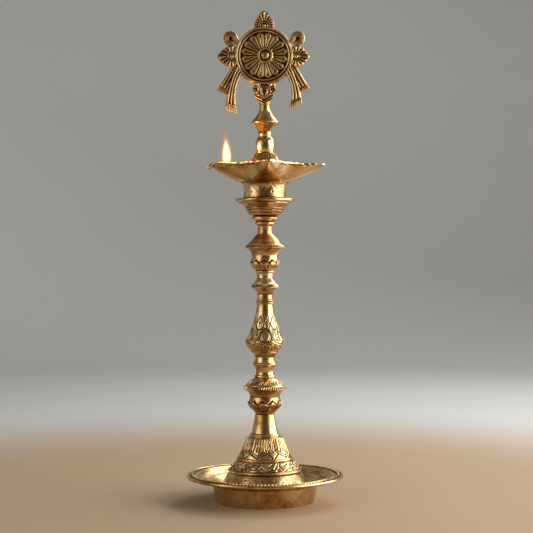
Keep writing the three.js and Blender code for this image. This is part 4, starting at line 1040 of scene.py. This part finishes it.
tones = node(tree, "ShaderNodeValToRGB", {"Fac": char})
tones.color_ramp.elements[0].color = (0.62, 0.50, 0.30, 1)
tones.color_ramp.elements[1].color = (0.012, 0.009, 0.008, 1)
tones.color_ramp.elements.new(0.4).color = (0.22, 0.12, 0.05, 1)
surface(tree, {"Base Color": tones.outputs["Color"], "Roughness": 0.7, "Sheen Weight": 0.3,
               "Normal": bumped(tree, noise(tree, place, 2500.0, 3.0), 0.6, 0.0003)})
piece = shown("wick_cord", wick_points, wick_faces, cotton)
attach(piece, "wick")
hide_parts("wick")


# Flame: a still teardrop on the charred end, pale gold inside an orange skin, with the small
# warm light that it gives.
FLAME_Z, FLAME_H, FLAME_MIDDLE, FLAME_LEAN = 338.9, 27.0, 347, -0.9
FLAME_SHAPE = [(2.7, 339.5), (3.6, 341), (4.0, 342.6), (4.45, 345.6), (4.5, 349), (4.3, 352),
               (3.8, 355.6), (2.9, 359.5), (1.9, 362.5), (0.9, 364.9), (0, 366)]
FLAME_X, FLAME_Y = wick_lit[0] + 1.2, wick_lit[1]


def glow(name, low, high, strength, alpha):
    """Light of the flame, dim and orange at the foot and pale above it."""
    material, tree, place = new_material(name)
    height = node(tree, "ShaderNodeSeparateXYZ", {"Vector": place}).outputs["Z"]
    heat = blend(tree, ranged(tree, height, FLAME_Z * MM, (FLAME_Z + 6) * MM), low, high)
    surface(tree, {"Base Color": (0, 0, 0, 1), "Roughness": 1.0, "Specular IOR Level": 0.0,
                   "Emission Color": heat, "Emission Strength": strength, "Alpha": alpha})
    return material


def flame_shell(name, scale, material):
    """The flame's shape, larger or smaller about its middle."""
    places = [(r * scale, FLAME_MIDDLE + (z - FLAME_MIDDLE) * scale)
              for r, z in [(0, FLAME_Z), *FLAME_SHAPE]]
    points, faces = turned(Outline(*places[0]).through(places[1:]), 48, soften=0.1, coarse=0.5)
    lean = FLAME_LEAN * ((points[:, 2] - FLAME_Z) / FLAME_H) ** 2
    return shown(name, points + np.stack([FLAME_X + lean, FLAME_Y + 0 * lean, 0 * lean], 1),
                 faces, material)


flame = flame_shell("flame_skin", 1.0, glow("flame_orange", (0.9, 0.25, 0.04, 1),
                                            (1.0, 0.62, 0.30, 1), 1.2, 0.6))
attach(flame, "wick")
for name, scale, low, high, strength, alpha in (
        ("flame_heart", 0.88, (0.9, 0.36, 0.08, 1), (1.0, 0.95, 0.85, 1), 2.6, 1.0),
        ("flame_haze", 1.16, (0.8, 0.2, 0.03, 1), (1.0, 0.45, 0.15, 1), 0.9, 0.22),
        ("flame_halo", 1.36, (0.8, 0.2, 0.03, 1), (1.0, 0.42, 0.14, 1), 0.8, 0.10),
        ("flame_shine", 1.7, (0.8, 0.2, 0.03, 1), (1.0, 0.42, 0.14, 1), 0.8, 0.05)):
    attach(flame_shell(name, scale, glow(name + "_light", low, high, strength, alpha)), "wick")
light_data = bpy.data.lights.new("flame_light", "POINT")
light_data.energy = 0.12
light_data.color = (1.0, 0.48, 0.15)
light_data.shadow_soft_size = 0.011
flame_light = linked("flame_light", light_data)
flame_light.location = (-0.039, -0.016, 0.352)  # in front of the flame, to reach the near side
flame_light.parent = flame


# Finial foot: a carved dome that screws into the boss.
def dome_leaves(a, s, z, r):
    relief = np.zeros(np.broadcast(a, z).shape)
    above = np.ones_like(relief)
    for first, tip, length, width in ((0, 333.0, 14.0, 0.24), (15, 335.5, 12.5, 0.2)):
        across = cells(a, r, 12, first)
        up = z - tip
        half = width * r * np.sin(np.pi * np.clip(up / length, 0, 1) ** 0.7) ** 0.8
        side = (np.abs(across) - half) * 0.8
        here = window(up, -0.3, length, 0.4) * above
        relief += cut(side, 0.45, 0.45) * here
        relief += cut(across, 0.4, 0.4) * here * window(up, 3.5, length - 1.5, 1)
        above = above * (side > 0.2)
    return np.maximum(relief, -0.6) * window(z, 332.6, 346.6, 0.3) + cut(z - 347.1, 0.4, 0.4)


dome = (
    Outline(0, 321.5).line(3.9).line(4.4, 0.6).line(4.4, 8.0, "thread").line(4.4, 0.4).line(19.0)
    .line(19.4, 0.4).line(19.2, 1.0).line(9.4, 15.6, "leaves", bow=0.5).to(9.2, 348.2)
    .line(3.5).line(3.5, -8.6).line(0)
)
piece = shown("finial_dome", *turned(dome, 300, {"thread": thread(1.5, 0.45),
                                                 "leaves": dome_leaves}, fine=0.38), turned_brass)
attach(piece, "finial")
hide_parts("finial_foot")


# Finial stem: a bulb, a ringed neck, a saucer and a slim stalk that carries the emblem.
stalk = (
    Outline(0, 340.2).line(2.8).line(3.2, 0.5).line(3.2, 7.5).line(8.8)
    .through([(9.5, 351.5), (9.7, 355), (9.1, 359.5), (7.2, 363)]).to(6.3, 363.5).to(6.3, 364.1)
    .through([(6.8, 365.6), (6.2, 368.3)]).to(5.7, 368.8).to(6.1, 369.3)
    .through([(9.3, 372.6), (12.6, 375.7), (14.1, 377.0)]).to(14.4, 377.5).to(14.0, 378.4)
    .to(13.0, 378.8).to(12.9, 379.3).through([(11.0, 381.3), (7.4, 386), (5.6, 391.5),
                                              (5.4, 394), (6.0, 396.8)])
    .line(3.5).line(3.5, -8.6).line(0)
)
piece = shown("finial_stalk", *turned(stalk, 200, coarse=0.5), turned_brass)
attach(piece, "finial")
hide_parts("finial_stem")


# Wheel emblem: one sand casting, alike on both faces. It is drawn flat about the wheel's centre,
# across and up; each part gives its half thickness from place to place, and fusing rounds where
# the parts meet, as the mould does.
# Its third colour is the one deep in the casting's cuts and creases: patina there, and painted shade.
cast_brass = brass("cast_brass", (0.70, 0.48, 0.23, 1), (0.34, 0.19, 0.06, 1),
                   (0.030, 0.014, 0.006, 1), 0.26, 0.0, 0.45)
WHEEL_X, WHEEL_Z, WHEEL_R = -0.8, 444.8, 28.8
shells = []


def add_shell(points, faces):
    shells.append((np.asarray(points, float), faces))


def plate_skin(across, up, half):
    """A closed plate from grids of places and of half thickness."""
    n, m = across.shape
    front = np.stack([across, -half, up], -1).reshape(-1, 3)
    back = np.stack([across, half, up], -1).reshape(-1, 3)
    i, j = np.meshgrid(np.arange(n - 1), np.arange(m - 1), indexing="ij")
    a = (i * m + j).ravel()
    faces = np.stack([a, a + 1, a + m + 1, a + m], 1)
    edge = [*range(m), *range(2 * m - 1, n * m, m), *range(n * m - 2, (n - 1) * m - 1, -1),
            *range((n - 2) * m, 0, -m)]
    total = n * m
    closed = [(b0, b0 + total, b1 + total, b1) for b0, b1 in zip(edge, edge[1:] + edge[:1])]
    faces = [*faces.tolist(), *(faces[:, ::-1] + total).tolist(), *closed]
    ax, az = np.gradient(across), np.gradient(up)
    if (ax[1] * az[0] - az[1] * ax[0]).mean() < 0:
        faces = [face[::-1] for face in faces]
    return np.concatenate([front, back]), faces


def plate(across, up, half):
    add_shell(*plate_skin(across, up, half))


def turned_plate(profile, sides, across=0.0, up=0.0):
    """Both faces of a turned profile, given from the axis outwards: radius, half thickness."""
    shape = Outline(profile[0][0], -profile[0][1])
    for r, half in profile[1:]:
        shape.line(r, -half - shape.end[1])
    for r, half in reversed(profile):
        shape.line(r, half - shape.end[1])
    points, faces = turned(shape, sides, soften=0.2, coarse=0.5)
    add_shell(points[:, [0, 2, 1]] * [1, -1, 1] + [across, 0, up], faces)


turned_plate([(0, 1.4), (23.6, 1.4), (23.9, 2.8), (24.6, 3.2), (25.3, 2.8), (25.6, 1.6),
              (26.3, 1.6), (26.6, 2.9), (27.6, 3.4), (28.5, 2.9), (WHEEL_R, 1.6)], 240)
turned_plate([(0, 5.1), (1.6, 4.9), (3.1, 4.3), (4.1, 3.4), (4.5, 2.4), (4.8, 1.6), (5.2, 2.9),
              (5.8, 3.8), (6.8, 4.1), (7.6, 3.7), (8.1, 2.6), (8.4, 1.2)], 120, 1.0)

# One petal, pointing away from the wheel's middle: a raised outline round a groove that opens
# into a deep slot near the tip. It is repeated right round the wheel.
PETALS, PETAL_FROM, PETAL_SHOULDER, PETAL_TIP = 16, 7.6, 20.4, 22.9
v, u = np.meshgrid(np.linspace(0, 1, 60), np.linspace(-1, 1, 31), indexing="ij")
away = PETAL_FROM + (PETAL_TIP - PETAL_FROM) * v
grown = np.clip((away - PETAL_FROM) / (PETAL_SHOULDER - PETAL_FROM), 0, 1)
tip = np.clip((PETAL_TIP - away) / (PETAL_TIP - PETAL_SHOULDER), 0, 1)
petal_half = (1.2 + 2.3 * grown) * tip ** 0.55 + 0.15
off = u * petal_half
petal_h = 1.6 + 1.6 * np.sqrt(np.clip((petal_half - np.abs(off)) / 0.8, 0, 1))
petal_h -= 1.3 * np.exp(-(off / 0.42) ** 2) * window(away, 9.5, 18.0, 1.0)
slot = np.maximum(0.35 + 0.16 * (away - 17.2), 0.3)
petal_h -= 2.4 * np.exp(-(off / slot) ** 4) * window(away, 17.0, 20.5, 0.6)
petal_h = np.where(np.abs(u) > 0.97, 1.2, petal_h)
petal_points, petal_faces = plate_skin(off, -away, np.maximum(petal_h, 0.8))
petal_mesh = new_mesh("petal", petal_points[:, [0, 2, 1]] * [1, 1, -1] * MM, petal_faces)
petal_ring = ring_of("emblem_petals", bpy.data.objects.new("petal", petal_mesh), cast_brass, PETALS,
                     first=180 / PETALS, stand=(90, 0, 0))
add_shell(np.array([v.co for v in petal_ring.data.vertices]) / MM,
          [list(face.vertices) for face in petal_ring.data.polygons])
bpy.data.objects.remove(petal_ring)


def turned_by(across, up, angle):
    """Stands a part that points up on the rim, at an angle from straight up."""
    a = math.radians(angle)
    return across * math.cos(a) + up * math.sin(a), up * math.cos(a) - across * math.sin(a)


def ribbed_leaf(outline, centre, dome_r, ring_r, ribs, border, angle):
    """A pointed leaf on the rim: ribs fan out from a dome inside a ring to the leaf's edge. The
    outline is half of the leaf, across and away from the wheel's centre, from foot to tip."""
    half = np.array(outline, float) - [0, centre]
    side = np.arctan2(half[:, 0], half[:, 1])
    order = np.argsort(side)
    u, v = np.meshgrid(np.linspace(-1, 1, 241), np.linspace(0.01, 1, 60), indexing="ij")
    fan = u * side.max()
    reach = np.interp(np.abs(fan), side[order], np.hypot(*half.T)[order])
    d = v * reach
    rib = np.abs(np.cos(fan * ribs / 2)) ** 0.7
    inside = window(d, ring_r + 0.2, reach - border, 0.6)
    level = LEAF_HALF - 0.5 + 2.1 * rib * inside
    edge = 1.1 * np.exp(-((reach - d - 0.5) / 0.5) ** 2) * (border > 0.6)
    level = np.maximum(level, LEAF_HALF + edge)
    level = np.maximum(level, LEAF_HALF + 1.4 * np.exp(-((d - ring_r + 0.6) / 0.5) ** 2))
    dome = np.sqrt(np.clip(1 - (d / dome_r) ** 2, 0, 1))
    level = np.where(d < dome_r, LEAF_HALF + 1.9 * dome, level)
    level = np.where(v > 0.99, 0.9, level)
    plate(*turned_by(d * np.sin(fan), centre + d * np.cos(fan), angle), level)


LEAF_HALF = 1.5  # half of a leaf's thickness
CREST = [(0.02, 26.9), (5, 27.0), (9.4, 27.2), (10.1, 30.5), (9.3, 33.5), (7.8, 36.6), (6.1, 39.3),
         (4.2, 42.0), (1.9, 44.2), (0, 44.9)]
ribbed_leaf(CREST, 29.6, 2.1, 4.2, 20, 0.9, 0)
PALMETTE = [(0.02, 27.0), (4, 27.0), (7.4, 27.0), (10.2, 28.6), (10.8, 31), (10.4, 35), (8.8, 38.8),
            (6.6, 41.7), (3.7, 44.7), (1.6, 46.2), (0, 46.9)]
SHORTER = 1.4  # the right palmette's tip is worn
for hand in (-1, 1):
    ribbed_leaf([(x, up - (SHORTER if hand > 0 and up > 40 else 0)) for x, up in PALMETTE],
                32.2, 2.4, 4.0, 15, 0.5, 91.8 * hand)


def swept(path, half_width, half, flutes):
    """A flat band that follows a path, with lengthwise grooves and a rounded end."""
    path = np.array(path, float)
    knots = np.concatenate([[0], np.cumsum(np.hypot(*np.diff(path, axis=0).T))])
    s = np.linspace(0, knots[-1], 110)
    line = np.stack([np.interp(s, knots, path[:, k]) for k in range(2)], 1)
    for _ in range(30):
        line[1:-1] = (line[:-2] + 2 * line[1:-1] + line[2:]) / 4
    way = np.gradient(line, axis=0)
    way /= np.hypot(*way.T)[:, None]
    u = np.linspace(-1, 1, 31)
    left = knots[-1] - s
    rounded = np.sqrt(np.clip(1 - (1 - left / half_width) ** 2, 0.02, 1))
    width = half_width * np.where(left < half_width, rounded, 1.0)
    across = line[:, 0, None] - way[:, 1, None] * width[:, None] * u
    up = line[:, 1, None] + way[:, 0, None] * width[:, None] * u
    body = half * np.sqrt(np.clip(1 - 0.75 * u ** 4, 0, 1))
    body = body - 0.5 * np.exp(-((np.abs(u) - flutes) / 0.13) ** 2)
    plate(across, up, np.broadcast_to(body, across.shape))


# The loop's hole lies 33.6 out and 17.0 up from the wheel's centre; the band runs round it from
# the rim and ends in a rounded tail. A thin plate joins the band behind.
loop = [(24.6, 10.0), (27.2, 13.4)]
loop += [(33.6 - 4.65 * math.cos(t), 17.0 + 4.75 * math.sin(t))
         for t in np.radians(np.arange(0, 271, 15))]
loop += [(31.6, 12.3), (30.9, 13.4)]
for hand in (-1, 1):
    swept([(hand * x, z) for x, z in loop], 2.8, 2.7, 0.45)
    turned_plate([(0, 0.7), (5.6, 0.7)], 60, hand * 32.6, 16.2)


def ribbon(outside, inside, hand, half, folds, fringe):
    """A hanging ribbon: lengthwise folds, a double band and a fringe."""
    at = math.radians(KNOT_ANGLE)
    knot = (WHEEL_R * math.sin(at), WHEEL_R * math.cos(at))
    t, u = np.meshgrid(np.linspace(0, 1, 120), np.linspace(0, 1, 61), indexing="ij")

    def edge(points, axis):
        p = np.array([(knot[0] + x, knot[1] - y) for x, y in points])[:, axis]
        return p[0] * (2 * t * t - 3 * t + 1) + p[1] * (4 * t - 4 * t * t) + p[2] * (2 * t * t - t)

    x = edge(outside, 0) * (1 - u) + edge(inside, 0) * u
    z = edge(outside, 1) * (1 - u) + edge(inside, 1) * u
    reach = np.hypot(np.diff(x, axis=0), np.diff(z, axis=0)).sum(0).mean()
    left = (1 - t) * reach
    body = left > 7.2
    fold = 0.5 + 0.5 * np.cos(2 * np.pi * folds * u)
    thick = half + 0.7 * (1 - np.clip(fold * 1.6, 0, 1)) * body - 0.6 * (fold > 0.7) * body
    thick -= 0.8 * (np.exp(-((left - 7.2) / 0.4) ** 2) + np.exp(-((left - 5.4) / 0.4) ** 2))
    thick += 0.5 * np.exp(-((left - 6.3) / 0.45) ** 2)
    strand = 0.5 - 0.5 * np.cos(2 * np.pi * fringe * u)
    thick += (1.0 * strand - 0.75) * window(left, -1, 4.8, 0.5)
    thick = np.where((u < 0.02) | (u > 0.98), half * 0.6, np.maximum(thick, half * 0.6))
    z = z + 0.6 * (1 - strand) * np.clip(1 - left / 1.5, 0, 1)
    plate(hand * x, z, thick)


KNOT_ANGLE = 118
RIBBONS = (
    (-1, ((4, -8), (13.5, 8), (22.2, 21.4)), ((-3, -3), (6.5, 14), (12.6, 26.8)), 1.0, 3, 6),
    (-1, ((1, -4), (9, 17), (13.8, 41.0)), ((-5, 4), (2.4, 21), (1.2, 45.4)), 2.7, 3, 7),
    (1, ((4, -8), (13.5, 8), (20.4, 19.2)), ((-3, -3), (6, 13), (10.8, 23.8)), 1.0, 3, 6),
    (1, ((1, -4), (9, 17), (13.0, 34.6)), ((-5, 4), (1.8, 20.5), (-0.8, 40.4)), 2.7, 3, 7),
)
for hand, outside, inside_edge, half, folds, fringe in RIBBONS:
    ribbon(outside, inside_edge, hand, half, folds, fringe)

# Webs along the rim between the ribbons and the bracket
for hand in (-1, 1):
    a, share = np.meshgrid(np.radians(np.linspace(124, 166, 40)), np.linspace(0, 1, 12),
                           indexing="ij")
    reach = 27.2 + share * (1.5 + 1.5 * np.sin((a - a.min()) / (a.max() - a.min()) * np.pi) ** 0.7)
    plate(hand * reach * np.sin(a), reach * np.cos(a), 2.3 - 0.9 * share ** 3)


# Bracket: a volute at each shoulder, a V between them and a pointed leaf below
SIDE_Z = [-48.0, -46.2, -43.5, -40.6, -38.6, -37.0, -34.2, -31.2, -29.0, -26.6]
SIDE_X = [5.4, 5.9, 8.2, 9.9, 9.5, 9.6, 11.6, 11.2, 11.3, 10.4]
z, u = np.meshgrid(np.linspace(-48.0, -26.6, 120), np.linspace(-1, 1, 121), indexing="ij")
x = u * np.interp(z, SIDE_Z, SIDE_X)
mirror = np.abs(x)
eye = np.hypot(mirror - 8.7, z + 34.3)
half = 3.4 - 1.2 * np.abs(u) ** 4
half = np.maximum(half, np.sqrt(np.clip(5.5 ** 2 - x ** 2, 0, 99)) * np.clip((-42 - z) / 5, 0, 1))
half = half + 1.2 * np.exp(-((eye - 2.5) / 0.6) ** 2) - 1.2 * np.exp(-((eye - 1.5) / 0.45) ** 2)
half = half + 0.9 * np.exp(-(eye / 0.8) ** 2)
half = half + 0.9 * np.exp(-(to_path(mirror, z, [(6.6, -29.0), (1.8, -38.0)]) / 1.0) ** 2)
half = half - 1.6 * (mirror < np.interp(z, [-39.2, -29.2], [0.2, 3.6])) * (z > -39.2)
for path, depth in (([(4.6, -29.0), (0.4, -39.2)], 1.0), ([(9.8, -37.8), (6.6, -38.6)], 0.8),
                    ([(8.6, -39.4), (0, -44.6)], 1.3), ([(8.4, -42.6), (0, -46.8)], 1.0),
                    ([(4.6, -40.6), (1.0, -42.2)], 0.6)):
    half = half - depth * np.exp(-(to_path(mirror, z, path) / 0.5) ** 2)
plate(x, z, np.maximum(half, 1.2))
root = (
    Outline(0, 388.8).line(2.8).line(3.2, 0.5).line(3.2, 8.0).line(4.4, 0.2).line(4.4, 0.8)
    .line(4.0, 1.2).line(0)
)
root_points, root_faces = turned(root, 64, soften=0.12, coarse=0.6)
add_shell(root_points - [WHEEL_X, 0, WHEEL_Z], root_faces)

VOXEL, KEPT_SHARE = 0.375, 0.53
points, faces = joined(shells)
loose = linked("emblem_parts",
               new_mesh("emblem_parts", (points + [WHEEL_X, 0, WHEEL_Z]) * MM, faces))
fuse = loose.modifiers.new("fuse", "REMESH")
fuse.mode = "VOXEL"
fuse.voxel_size = VOXEL * MM
fused = settled(loose)
# Darkens the casting's cuts and the creases where its parts meet: patina, and painted shade.
mark_patina_and_shade(fused, 12, 0.16, 0.03)
even = linked("emblem_even", fused)
thin = even.modifiers.new("thin", "DECIMATE")
thin.ratio = KEPT_SHARE
casting = settled(even)
casting.name = "emblem_casting"
casting.shade_smooth()
casting.materials.clear()
casting.materials.append(cast_brass)
piece = linked("emblem_casting", casting)
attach(piece, "finial")
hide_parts("chakra_emblem")
